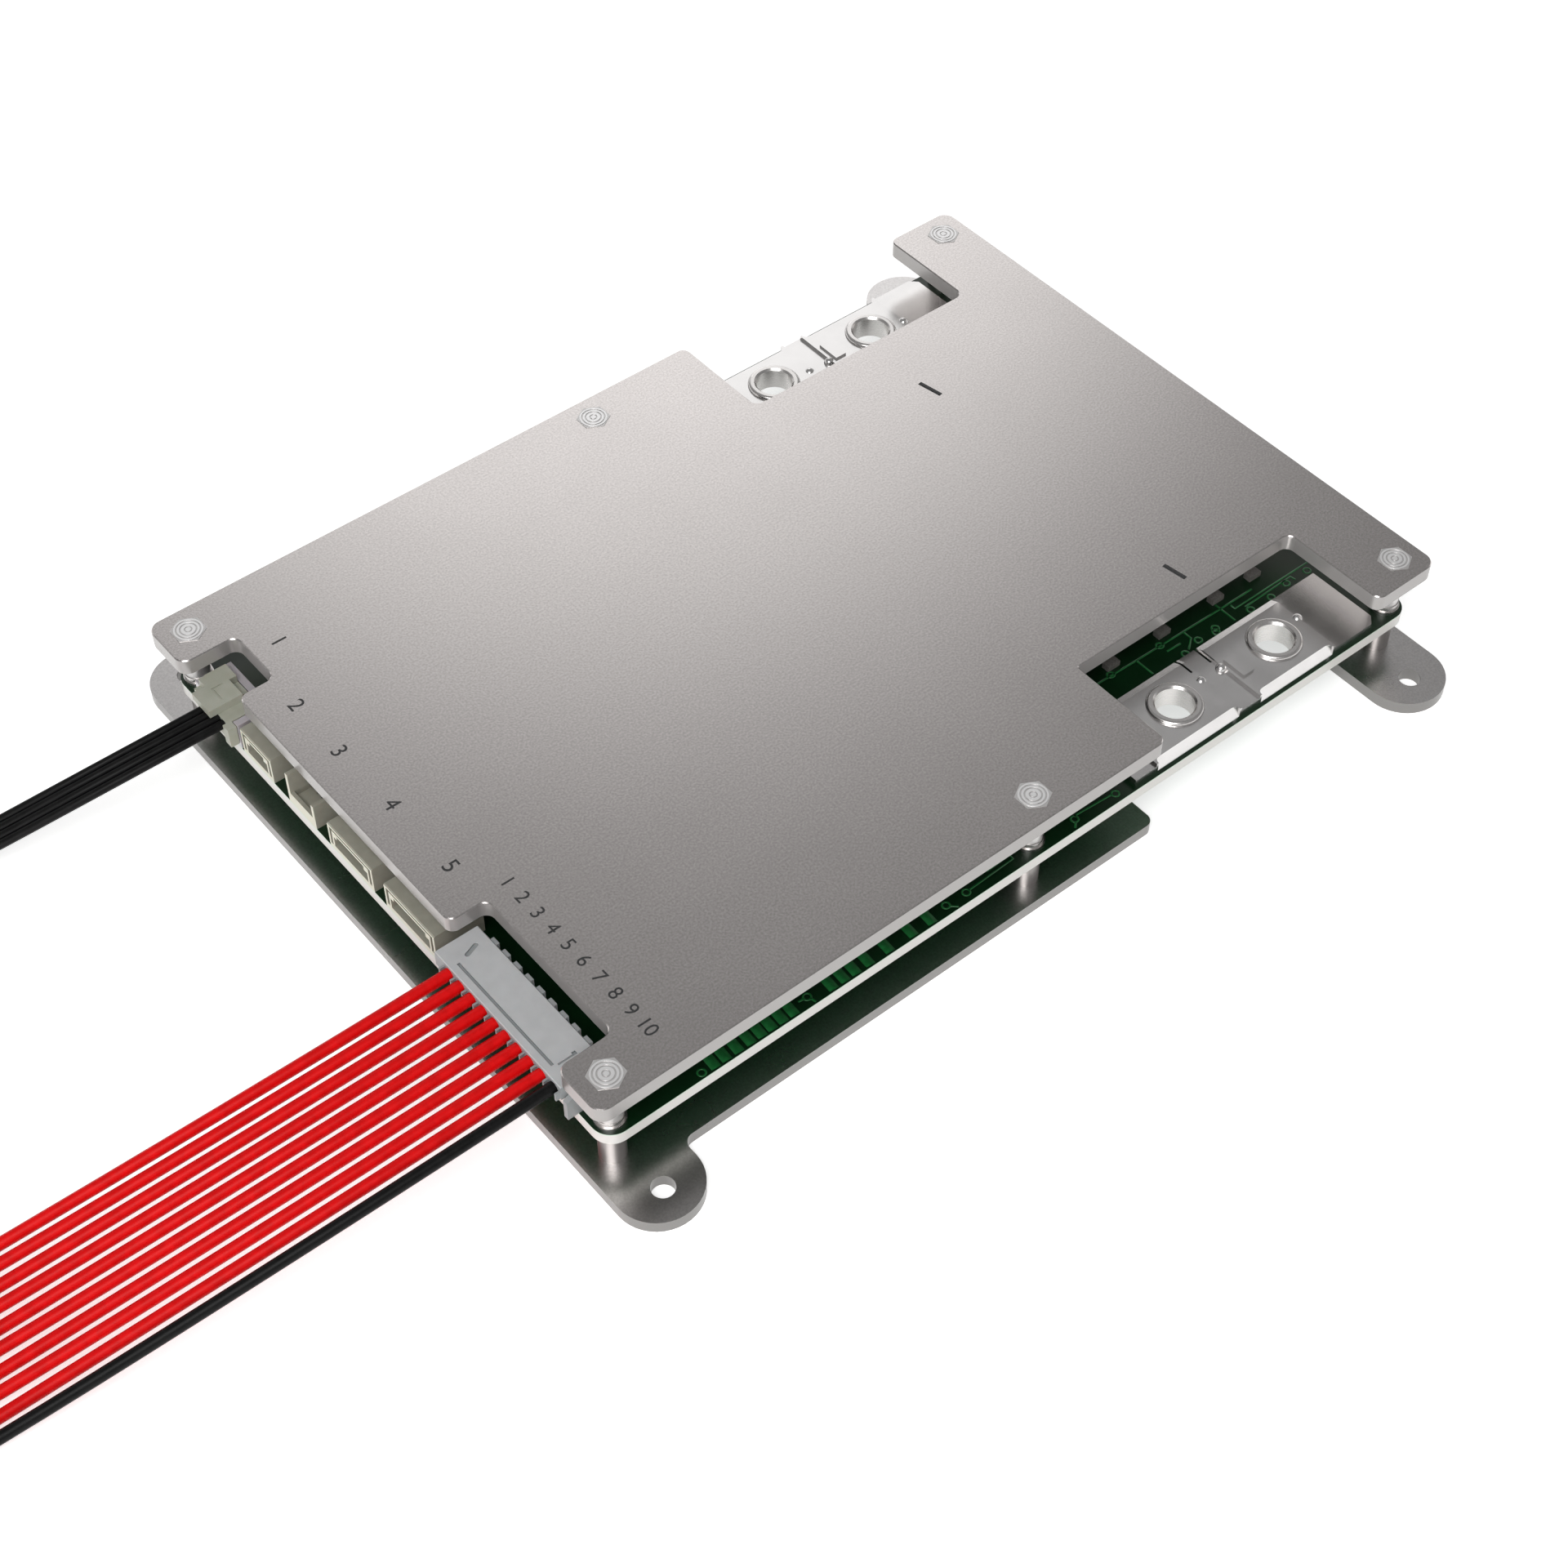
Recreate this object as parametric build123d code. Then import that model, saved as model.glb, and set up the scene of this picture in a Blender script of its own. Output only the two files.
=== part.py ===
from build123d import *
import math
import os

# Battery management board: a circuit board held between a base plate and a
# cover plate by six stud stacks, with plug connectors along one short edge
# and two pairs of bolt terminals along the long edges.
# Origin: middle of the base plate's underside. +X runs from the connector
# edge to the far short edge, +Y to the load terminals, +Z up. Millimetres.

# Heights of the stack
base_thick = 2.0
lower_gap = 5.6
board_thick = 2.0
upper_gap = 6.7
cover_thick = 2.6

base_top = base_thick
board_bottom = base_top + lower_gap
board_top = board_bottom + board_thick
cover_bottom = board_top + upper_gap
cover_top = cover_bottom + cover_thick

# Cover plate
cover_length = 150.0
cover_width = 106.0
cover_corner = 2.0
cover_bevel = 0.15
cover_setback = 2.9
plug_notch_depth = 8.8
sensor_notch_inset = 0.55
balance_notch_inset = 0.8
balance_notch_outset = 0.4
notch_corner = 1.4
sharp_corner = 0.4
tab_corner = 1.8

# Window over the bolt terminals, also cut in the base plate
window_length = 42.05
window_end_inset = 12.2
window_depth = 17.6

# Base plate and its four ears
base_overhang = 0.2
ear_radius = 6.2
ear_reach = 9.0
ear_hole = 3.3
ear_hole_inset = 5.0
ear_fillet = 1.5

# Circuit board
board_inset_x = 1.7
board_inset_y = 1.4
board_corner = 3.0

# Stud stacks
stack_inset_x = 4.35
stack_inset_y = 4.25
stud_size = 2.9
stud_play = 0.1
stud_head = 5.0
stud_head_thick = 0.8
stud_engagement = 4.0
bore_spare = 0.5
spacer_size = 3.75
hex_across = 4.5
hex_thick = 1.4
hex_rise = 0.06
ring_height = 0.14
ring_edges = (2.1, 1.85, 1.6, 1.3, 1.05, 0.6, 0.4)
ring_groove = 0.08
barrel_size = 3.7
barrel_play = 0.05
flat_washer_size = 4.4
flat_washer_thick = 0.5
lock_washer_size = 4.0
lock_washer_thick = 0.8
lock_washer_split = 0.5

# Bolt terminals: places along a bar are from its start
bar_length = 48.6
bar_width = 12.6
bar_end_inset = 8.4
bar_side_inset = 2.1
bar_thick = 1.1
bar_corner = 1.2
pad_rise = 0.5
pad_spans = ((4.0, 20.7), (24.35, 39.75))
pad_shoulder = 1.2
pad_bevel = 0.9
pad_bevel_margin = 0.35
pad_bevel_round = 0.85
nut_middle = 23.75
nut_spacing = 20.0
nut_side_inset = 8.5
nut_bore = 5.75
nut_size = 7.0
nut_collar = 8.3
nut_lip = 0.55
nut_round = 0.5
nut_bevel = 0.3
nut_depth = 3.1
nut_play = 0.05
nut_board_play = 0.2
slit_width = 0.35
slit_length = 3.3
slit_places = (20.05, 24.0)
dimple_radius = 0.85
dimple_side_inset = 9.6
dimple_places = (20.1, 24.15, 39.75)
tab_middle = 26.1
tab_width = 2.0
tab_length = 4.1
tab_side_inset = 8.15
tab_rise = 0.35

# Side-entry headers with a window in their front face
header_depth = 7.7
header_height = 4.6
header_wall = 1.15
header_bevel = 0.2
header_side_wall = 1.3
header_floor = 0.8
header_cavity = 6.0
header_key_rise = 0.7
header_key_inset = 0.8
header_key_depth = 1.1
header_rim = 0.4
header_lip = 0.35
header_groove = 0.5
three_way_width = 7.8
four_way_width = 10.7
five_way_width = 11.6
three_way_gap = 0.55
header_gaps = (3.9, 3.4, 2.9, 2.9)
pin_size = 0.64
pin_play = 0.05
pin_pitch = 2.0
pin_reach = 4.2
pin_height = 2.3
pin_tail = 1.2

# Open-topped header
open_width = 6.8
open_height = 5.6
open_low_side = 4.5
open_front = 1.0
open_wall = 0.6
open_floor = 0.9
open_pitch = 1.25

# Sensor connector
sensor_header_side_inset = 8.95
sensor_header_width = 11.2
sensor_header_back = 5.8
sensor_header_height = 4.6
sensor_wall = 1.1
sensor_plug_play = 0.15
sensor_plug_rise = 1.3
sensor_front = 2.1
sensor_body_front = 0.9
sensor_block_low = 3.6
sensor_block_high = 8.2
sensor_rear_low = 7.2
sensor_rear_reach = 4.5
sensor_main_back = 3.3
sensor_face = 1.25
sensor_leg_low = 0.05
sensor_leg_high = 1.45
sensor_leg_front = 1.5
sensor_leg_height = 4.6
sensor_leg_lift = 1.2
sensor_mark_start = 0.4
sensor_mark_end = 2.2
sensor_step = 1.0
sensor_mark = 0.25

# Sensor wires
sensor_wire_count = 4
sensor_wire_size = 1.3
sensor_wire_pitch = 1.37
sensor_wire_inset = 4.9
sensor_exit_rise = 3.95

# Balance connector
tap_count = 10
tap_pitch = 2.5
tap_wire_size = 1.7
tap_side_inset = 32.05
tap_exit_rise = 4.7
plug_top_rise = 5.9
plug_skirt_rise = 3.4
plug_foot_rise = 1.1
plug_margin_high = 3.25
plug_margin_low = 1.45
plug_front = 1.7
plug_back = 5.7
plug_tooth_depth = 0.6
plug_tooth_width = 1.3
plug_tooth_drop = 0.3
plug_bevel = 0.15
plug_body_inset = 0.3
plug_slot = 0.35
plug_slot_width = 0.45
plug_slot_inset = 1.1
plug_slot_margin = 3.4
plug_oval = (1.8, 0.7)
plug_oval_place = (2.2, 2.7)
plug_oval_turn = 20
plug_socket = (2.5, 3.1)
plug_groove = (0.2, 2.6)
plug_mark_margin = 2.9
plug_mark_width = 0.6
plug_comb_reach = 0.75
plug_comb_wall = 0.3
plug_comb_low = 0.95
plug_comb_high = 0.4
plug_lower_inset = 1.5
balance_wall = 1.2
balance_play = 0.15
balance_floor = 0.9
balance_back_wall = 1.2
balance_brace_reach = 1.6
balance_brace_back = 2.0
balance_brace_drop = 0.4
balance_brace_thick = 0.8

# Parts on the board under the cover: places along X are from the connector
# edge or a bar's start, and places beside a long edge are from the cover's side
transistor_length = 10.2
transistor_width = 9.0
transistor_height = 4.4
transistor_tab = 1.2
transistor_tab_thick = 1.3
transistor_tab_inset = 0.5
transistor_bevel = 0.3
leg_spacing = 2.54
leg_width = 0.8
leg_length = 2.4
leg_thick = 0.6
transistor_side_inset = 33.0
transistor_columns = 6
transistor_pitch = 12.6
transistor_start = 31.3
pad_overhang = 1.0
shunt_length = 12.0
shunt_width = 5.0
shunt_thick = 1.0
shunt_foot = 2.4
shunt_rise = 2.2
shunt_side_inset = 18.7
shunt_before_bar = 48.0
shunt_pitch = 8.0
shunt_count = 5
chip_side = 10.0
chip_height = 1.5
chip_gap = 0.1
chip_bevel = 0.6
lead_count = 11
lead_width = 0.35
lead_pitch = 0.8
lead_reach = 1.1
lead_thick = 0.2
controller_start = 23.3
controller_y = 2.0
monitor_start = 17.3
monitor_side_inset = 23.0
can_size = 6.3
can_height = 5.4
can_base = 6.6
can_base_height = 1.1
can_round = 0.4
can_places = ((11.3, 10.0), (11.3, 20.0), (23.3, 30.0))
coil_side = 6.8
coil_height = 4.2
coil_corner = 1.0
coil_bevel = 0.3
inductor_start = 33.3
inductor_side_inset = 15.0
small_chip_side_inset = 20.6
small_chip_length = 2.3
small_chip_width = 1.3
small_chip_height = 0.9
small_chip_places = (13.2, 23.35, 34.3, 42.0)
resistor_length = 3.2
resistor_width = 1.6
resistor_height = 0.6
resistor_side_inset = 10.5
resistor_start = 16.3
resistor_before_bar = 16.5
resistor_count = 10

# Free wires: routes to the floor, then put away in flat coils; places along X
# are how far they lie in front of the connector edge
floor_gap = 0.05
bundle_pitch = 1.9
tap_bundle_y = -21.4
tap_drift = 11.9
tap_route_reach = (27.7, 74.7, 101.7, 122.7, 132.7)
tap_coil_reach = 136.7
tap_coil_radius = 32.0
tap_coil_inner = 8.9
coil_turn_gap = 0.3
sensor_bundle_pitch = 1.45
sensor_bundle_y = 48.9
sensor_drift = 11.45
sensor_route_reach = (16.7, 42.7, 58.7, 72.7, 79.7)
sensor_coil_reach = 82.7
sensor_coil_radius = 17.0
sensor_coil_inner = 7.2
tie_thick = 0.9
tie_width = 2.5
tie_play = 0.1
tie_head = (4.5, 3.6)
bead_size = 3.0
bead_length = 6.0
bead_gap = 0.4
bead_round = 1.35

# Places worked out from the sizes above
cover_end = cover_length / 2
cover_side = cover_width / 2
base_length = cover_length + 2 * base_overhang
board_length = cover_length - 2 * board_inset_x
board_width = cover_width - 2 * board_inset_y
board_front = -board_length / 2
stack_x = cover_end - stack_inset_x
stack_y = cover_side - stack_inset_y
stack_places = [(x, y) for x in (-stack_x, 0, stack_x) for y in (-stack_y, stack_y)]
ear_x = base_length / 2 - ear_radius
ear_tip = cover_side + ear_reach
ear_hole_y = ear_tip - ear_hole_inset
window_end = cover_end - window_end_inset
window_start = window_end - window_length
window_line = cover_side - window_depth
bar_end = cover_end - bar_end_inset
bar_start = bar_end - bar_length
bar_outer = cover_side - bar_side_inset
bar_inner = bar_outer - bar_width
nut_line = cover_side - nut_side_inset
nut_places = [bar_start + nut_middle - nut_spacing / 2, bar_start + nut_middle + nut_spacing / 2]
spring_top = board_top + flat_washer_thick + lock_washer_thick
tap_floor_z = tap_wire_size / 2 + floor_gap
sensor_floor_z = sensor_wire_size / 2 + floor_gap
coil_lift = tie_thick + tie_play
tap_exit_z = board_top + tap_exit_rise
tap_wire_first = tap_side_inset - cover_side
plug_high = tap_wire_first + plug_margin_high
plug_low = tap_wire_first - (tap_count - 1) * tap_pitch - plug_margin_low
balance_notch_high = plug_high + balance_notch_outset
balance_notch_low = plug_low + balance_notch_inset
sensor_exit_z = board_top + sensor_exit_rise
sensor_header_high = cover_side - sensor_header_side_inset
sensor_header_low = sensor_header_high - sensor_header_width
sensor_notch_low = sensor_header_low + sensor_notch_inset
sensor_notch_high = sensor_header_high - sensor_notch_inset
sensor_wire_first = sensor_header_high - sensor_wire_inset
three_way_start = sensor_header_low - three_way_gap - three_way_width
header_room = three_way_start - plug_high - open_width - four_way_width - five_way_width
open_gap, four_way_gap, five_way_gap, plug_gap = [g * header_room / sum(header_gaps) for g in header_gaps]
open_start = three_way_start - open_gap - open_width
four_way_start = open_start - four_way_gap - four_way_width
five_way_start = plug_high + plug_gap
transistor_row = cover_side - transistor_side_inset
transistor_rows = (-transistor_row, transistor_row)
transistor_first = board_front + transistor_start
shunt_start = bar_start - shunt_before_bar
shunt_line = shunt_side_inset - cover_side
resistor_first = board_front + resistor_start
resistor_last = bar_start - resistor_before_bar
resistor_pitch = (resistor_last - resistor_first) / (resistor_count - 1)
resistor_line = resistor_side_inset - cover_side
small_chip_line = small_chip_side_inset - cover_side
tap_route_x = [board_front - reach for reach in tap_route_reach]
tap_coil_start = board_front - tap_coil_reach
sensor_route_x = [board_front - reach for reach in sensor_route_reach]
sensor_coil_start = board_front - sensor_coil_reach


def block(x_range, y_range, z_range):
    """A box between two values along each axis."""
    sizes = [abs(b - a) for a, b in (x_range, y_range, z_range)]
    middle = [(a + b) / 2 for a, b in (x_range, y_range, z_range)]
    return Pos(*middle) * Box(*sizes)


def disc(x, y, size, z_range):
    """An upright round bar of the given diameter."""
    low, high = z_range
    return Pos(x, y, (low + high) / 2) * Cylinder(size / 2, high - low)


def ring(x, y, outer, inner, z_range):
    """A washer or sleeve."""
    return disc(x, y, outer, z_range) - disc(x, y, inner, z_range)


def prism(points, z_range, radii=None):
    """An upright prism on a closed outline, with a radius for each corner."""
    low, high = z_range
    corners = radii or [0.0] * len(points)
    outline = FilletPolyline(*points, radius=corners, close=True)
    return Pos(0, 0, low) * extrude(make_face(outline), high - low)


def group(solids):
    """Separate solids kept together as one node."""
    return Compound(children=[s for part in solids for s in part.solids()])


def mirrored_y(part):
    """The same part on the other side of the middle line."""
    return mirror(part, about=Plane.XZ)


def hexagon(x, y, across, z_range):
    """An upright hexagonal bar with two corners along Y."""
    low, high = z_range
    face = RegularPolygon(across / 2, 6, major_radius=False, rotation=30)
    return Pos(x, y, low) * extrude(face, high - low)


def cover_outline():
    """Corners of the cover plate, each with its radius."""
    edge = -cover_end
    middle_edge = edge + cover_setback
    notch = edge + plug_notch_depth
    side = cover_side
    r = notch_corner
    return [
        (edge, -side, cover_corner),
        (window_start, -side, r),
        (window_start, -window_line, sharp_corner),
        (window_end, -window_line, r),
        (window_end, -side, r),
        (-edge, -side, cover_corner),
        (-edge, side, cover_corner),
        (window_end, side, r),
        (window_end, window_line, r),
        (window_start, window_line, r),
        (window_start, side, r),
        (edge, side, cover_corner),
        (edge, sensor_notch_high, tab_corner),
        (notch, sensor_notch_high, r),
        (notch, sensor_notch_low, r),
        (middle_edge, sensor_notch_low, r),
        (middle_edge, balance_notch_high, r),
        (notch, balance_notch_high, r),
        (notch, balance_notch_low, r),
        (edge, balance_notch_low, tab_corner),
    ]


def cover_plate():
    """Flat cover with plug notches, terminal windows and hex seats."""
    corners = cover_outline()
    points = [(x, y) for x, y, r in corners]
    plate = prism(points, (cover_bottom, cover_top), [r for x, y, r in corners])
    rim = plate.faces().sort_by(Axis.Z)[-1].outer_wire().edges()
    plate = chamfer(rim, cover_bevel)
    for x, y in stack_places:
        plate -= hexagon(x, y, hex_across, (cover_top - hex_thick, cover_top + 1))
        plate -= disc(x, y, barrel_size + 2 * barrel_play, (cover_bottom - 1, cover_top))
    return plate


def base_plate():
    """Base sheet with an ear at each corner and a window under each terminal."""
    z_range = (0, base_top)
    side = cover_side
    plate = block((-base_length / 2, base_length / 2), (-side, side), z_range)
    ear_centre = ear_tip - ear_radius
    for x in (-ear_x, ear_x):
        plate += block((x - ear_radius, x + ear_radius), (-ear_centre, ear_centre), z_range)
        for y in (-ear_centre, ear_centre):
            plate += disc(x, y, 2 * ear_radius, z_range)
    for sign in (-1, 1):
        window = (sign * window_line, sign * ear_tip)
        plate -= block((window_start, ear_x - ear_radius), window, z_range)
    for x, y in [(a * ear_x, b * ear_hole_y) for a in (-1, 1) for b in (-1, 1)]:
        plate -= disc(x, y, ear_hole, (-1, base_top + 1))
    inner_corner = -ear_x + ear_radius
    upright = plate.edges().filter_by(Axis.Z)
    plate = fillet([e for e in upright if near_corner(e, inner_corner, side)], ear_fillet)
    upright = plate.edges().filter_by(Axis.Z)
    plate = fillet([e for e in upright if near_corner(e, window_start, side)], notch_corner)
    for x, y in stack_places:
        plate -= disc(x, y, stud_size + 2 * stud_play, (-1, base_top + 1))
        plate -= disc(x, y, stud_head + 2 * stud_play, (-1, stud_head_thick))
    return plate


def near_corner(edge, x, y):
    """Whether an upright edge stands at (x, y) or at (x, -y)."""
    middle = edge.center()
    return abs(middle.X - x) < 0.01 and abs(abs(middle.Y) - y) < 0.01


def circuit_board():
    """The board, with holes for studs, terminal nuts and header pins."""
    z_range = (board_bottom, board_top)
    x, y = board_length / 2, board_width / 2
    board = prism([(-x, -y), (x, -y), (x, y), (-x, y)], z_range, [board_corner] * 4)
    through = (board_bottom - 1, board_top + 1)
    for x, y in stack_places:
        board -= disc(x, y, stud_size + 2 * stud_play, through)
    for x in nut_places:
        for sign in (-1, 1):
            board -= disc(x, sign * nut_line, nut_size + 2 * nut_board_play, through)
    for x, y, reach in pin_feet():
        board -= disc(x, y, pin_size * math.sqrt(2) + 2 * pin_play, through)
    return board


def stack_group(make):
    """One solid of each kind at every stud."""
    return group([make(x, y) for x, y in stack_places])


def base_stud(x, y):
    """Press-in stud with its head flush in the base's underside."""
    head = disc(x, y, stud_head, (0, stud_head_thick))
    return head + disc(x, y, stud_size, (0, spring_top + stud_engagement))


def lower_spacer(x, y):
    """Round spacer between base plate and board."""
    return ring(x, y, spacer_size, stud_size + 2 * stud_play, (base_top, board_bottom))


def flat_washer(x, y):
    """Flat washer on the board."""
    z_range = (board_top, board_top + flat_washer_thick)
    return ring(x, y, flat_washer_size, stud_size + 2 * stud_play, z_range)


def lock_washer(x, y):
    """Split spring washer on the flat washer."""
    z_range = (board_top + flat_washer_thick, spring_top)
    washer = ring(x, y, lock_washer_size, stud_size + 2 * stud_play, z_range)
    half = lock_washer_split / 2
    return washer - block((x, x + lock_washer_size), (y - half, y + half), z_range)


def cover_standoff(x, y):
    """Hex-headed threaded barrel that carries the cover plate."""
    standoff = hexagon(x, y, hex_across, (cover_top - hex_thick, cover_top + hex_rise))
    standoff += disc(x, y, 2 * ring_edges[0], (cover_top, cover_top + ring_height))
    standoff += disc(x, y, barrel_size, (spring_top, cover_top - hex_thick))
    groove_range = (cover_top + ring_height - ring_groove, cover_top + 1)
    for outer, inner in zip(ring_edges[1::2], ring_edges[2::2]):
        standoff -= ring(x, y, 2 * outer, 2 * inner, groove_range)
    bore_range = (spring_top - 1, spring_top + stud_engagement + bore_spare)
    return standoff - disc(x, y, stud_size + 2 * stud_play, bore_range)


def battery_bar():
    """Stamped terminal bar with two raised pads on the battery side."""
    sheet_top = board_top + bar_thick
    pad_top = sheet_top + pad_rise
    bar = prism(
        [
            (bar_start, -bar_outer),
            (bar_end - bar_corner, -bar_outer),
            (bar_end, -bar_outer + bar_corner),
            (bar_end, -bar_inner),
            (bar_start, -bar_inner),
        ],
        (board_top, sheet_top),
    )
    for span in pad_spans:
        start, end = (bar_start + place for place in span)
        bar += terminal_pad(start, end, sheet_top, pad_top)
        bar -= front_bevel(start, end, pad_top)
    tab_x = bar_start + tab_middle
    low = cover_side - tab_side_inset - tab_length / 2
    bar += block(
        (tab_x - tab_width / 2, tab_x + tab_width / 2),
        (-low, -low - tab_length),
        (sheet_top, pad_top + tab_rise),
    )
    for x in (bar_start + place for place in slit_places):
        slit = (-bar_inner, -bar_inner - slit_length)
        bar -= block((x - slit_width / 2, x + slit_width / 2), slit, (board_top, pad_top))
    dimple_line = cover_side - dimple_side_inset
    dimple_reach = 2 * dimple_radius
    for x in (bar_start + place for place in dimple_places):
        dome = Pos(x, -dimple_line, sheet_top) * Sphere(dimple_radius)
        bar += dome & block(
            (x - dimple_reach, x + dimple_reach),
            (-dimple_line - dimple_reach, -dimple_line + dimple_reach),
            (board_top, pad_top + tab_rise),
        )
    for x in nut_places:
        bar -= disc(x, -nut_line, nut_size + 2 * nut_play, (board_top - 1, pad_top + 1))
    return bar


def terminal_pad(start, end, sheet_top, pad_top):
    """Raised pad with a sloping shoulder along its inner side."""
    profile = [
        (-bar_outer, sheet_top - pad_rise),
        (-bar_outer, pad_top),
        (-bar_inner - pad_shoulder, pad_top),
        (-bar_inner, sheet_top),
        (-bar_inner, sheet_top - pad_rise),
    ]
    face = make_face(Polyline(*[(start, y, z) for y, z in profile], close=True))
    return extrude(face, end - start, dir=(1, 0, 0))


def front_bevel(start, end, pad_top):
    """The wedge that bevels a pad down to the board along its outer side."""
    profile = [(-bar_outer, board_top), (-bar_outer - 1, pad_top + 1), (-bar_outer, pad_top + 1)]
    profile += [(-bar_outer + pad_bevel * (pad_top + 1 - board_top) / (pad_top - board_top), pad_top + 1)]
    face = make_face(Polyline(*[(start, y, z) for y, z in profile], close=True))
    wedge = extrude(face, end - start, dir=(1, 0, 0))
    inner = -bar_outer + pad_bevel
    low, high = start + pad_bevel_margin, end - pad_bevel_margin
    outline = [(low, -bar_outer - 1), (high, -bar_outer - 1), (high, inner), (low, inner)]
    rounds = [0, 0, pad_bevel_round, pad_bevel_round]
    return wedge & prism(outline, (board_top, pad_top + 1), rounds)


def terminal_nut(x):
    """Press nut with a rounded collar that rests on the pad, open right through."""
    seat = board_top + bar_thick + pad_rise
    top = seat + nut_lip
    collar = disc(x, -nut_line, nut_collar, (seat, top))
    collar = fillet(collar.edges().sort_by(Axis.Z)[-1], nut_round)
    body = disc(x, -nut_line, nut_size, (seat - nut_depth, seat)) + collar
    body -= disc(x, -nut_line, nut_bore, (board_bottom, top + 1))
    rim = body.edges().filter_by(GeomType.CIRCLE).sort_by(Axis.Z)[-1]
    return chamfer(rim, nut_bevel)


def pin_rows():
    """Each header's pins: x of the row, first y, pitch, count and forward reach."""
    window_x = board_front + (header_cavity + header_depth) / 2
    rows = []
    for start, width, count in (
        (three_way_start, three_way_width, 3),
        (four_way_start, four_way_width, 4),
        (five_way_start, five_way_width, 5),
    ):
        first = start + (width - (count - 1) * pin_pitch) / 2
        rows.append((window_x, first, pin_pitch, count, pin_reach))
    open_first = open_start + (open_width - 3 * open_pitch) / 2
    rows.append((window_x, open_first, open_pitch, 4, pin_reach))
    sensor_x = board_front + sensor_header_back - sensor_wall / 2
    sensor_first = sensor_wire_first - (sensor_wire_count - 1) * sensor_wire_pitch
    rows.append((sensor_x, sensor_first, sensor_wire_pitch, sensor_wire_count, 0))
    balance_x = board_front + plug_back - balance_back_wall / 2
    rows.append((balance_x, tap_wire_first, -tap_pitch, tap_count, 0))
    return rows


def pin_feet():
    """Where each header pin passes through the board, and how far it reaches."""
    feet = []
    for x, first, pitch, count, reach in pin_rows():
        feet += [(x, first + n * pitch, reach) for n in range(count)]
    return feet


def pin_shape(x, y, reach):
    """Square pin: down through the board and, where it reaches, forward."""
    half = pin_size / 2
    level = board_top + pin_height
    across = (y - half, y + half)
    pin = block((x - half, x + half), across, (board_bottom - pin_tail, level + half))
    if reach:
        pin += block((x - reach, x), across, (level - half, level + half))
    return pin


def header_pins():
    """All header pins."""
    return group([pin_shape(x, y, reach) for x, y, reach in pin_feet()])


def pin_channels(header, low, high):
    """Cuts the seats of the pins between two y values out of a header."""
    for x, y, reach in pin_feet():
        if low < y < high:
            header -= pin_shape(x, y, reach)
    return header


def window_header(start, width):
    """Closed header with a keyed window in its front face."""
    x = board_front
    end = start + width
    top = board_top + header_height
    header = block((x, x + header_depth), (start, end), (board_top, top))
    header = chamfer(header.edges().filter_by(Axis.Y).sort_by(Axis.Z)[-2:], header_bevel)
    low, high = start + header_side_wall, end - header_side_wall
    roof = top - header_wall - header_key_rise
    header -= block((x - 1, x + header_cavity), (low, high), (board_top + header_floor, roof))
    key = (low + header_key_inset, high - header_key_inset)
    header -= block((x - 1, x + header_key_depth), key, (roof, roof + header_key_rise))
    header -= block((x + header_key_depth, x + header_cavity), (low, high), (roof, roof + header_key_rise))
    header -= front_groove((start, end), (low, high), top)
    return pin_channels(header, start, end)


def front_groove(outer, inner, top):
    """The groove between a window header's rim and the lip around its window."""
    floor = board_top + header_floor
    depth = (board_front - 1, board_front + header_groove)
    room = block(depth, (outer[0] + header_rim, outer[1] - header_rim), (floor, top - header_rim))
    lip_top = top - header_wall + header_lip
    return room - block(depth, (inner[0] - header_lip, inner[1] + header_lip), (floor, lip_top))


def open_header():
    """Open-topped header with a high back, one high side and a low front."""
    x = board_front
    end = open_start + open_width
    top = board_top + open_height
    header = block((x, x + header_depth), (open_start, end), (board_top, top))
    inner = (open_start + open_wall, end - open_wall)
    back = x + header_depth - open_wall
    header -= block((x + open_wall, back), inner, (board_top + open_floor, top + 1))
    header -= block((x - 1, x + open_wall), inner, (board_top + open_floor + open_front, top + 1))
    low_side = (open_start - 1, open_start + open_wall)
    header -= block((x - 1, x + header_depth / 2), low_side, (board_top + open_low_side, top + 1))
    return pin_channels(header, open_start, end)


def sensor_header():
    """Header that holds the sensor plug between two side walls."""
    x = board_front
    back = x + sensor_header_back
    top = board_top + sensor_header_height
    header = block((x, back), (sensor_header_low, sensor_header_high), (board_top, top))
    inner = (sensor_header_low + sensor_wall, sensor_header_high - sensor_wall)
    header -= block((x - 1, back - sensor_wall), inner, (board_top + header_floor, top + 1))
    return pin_channels(header, sensor_header_low, sensor_header_high)


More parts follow.
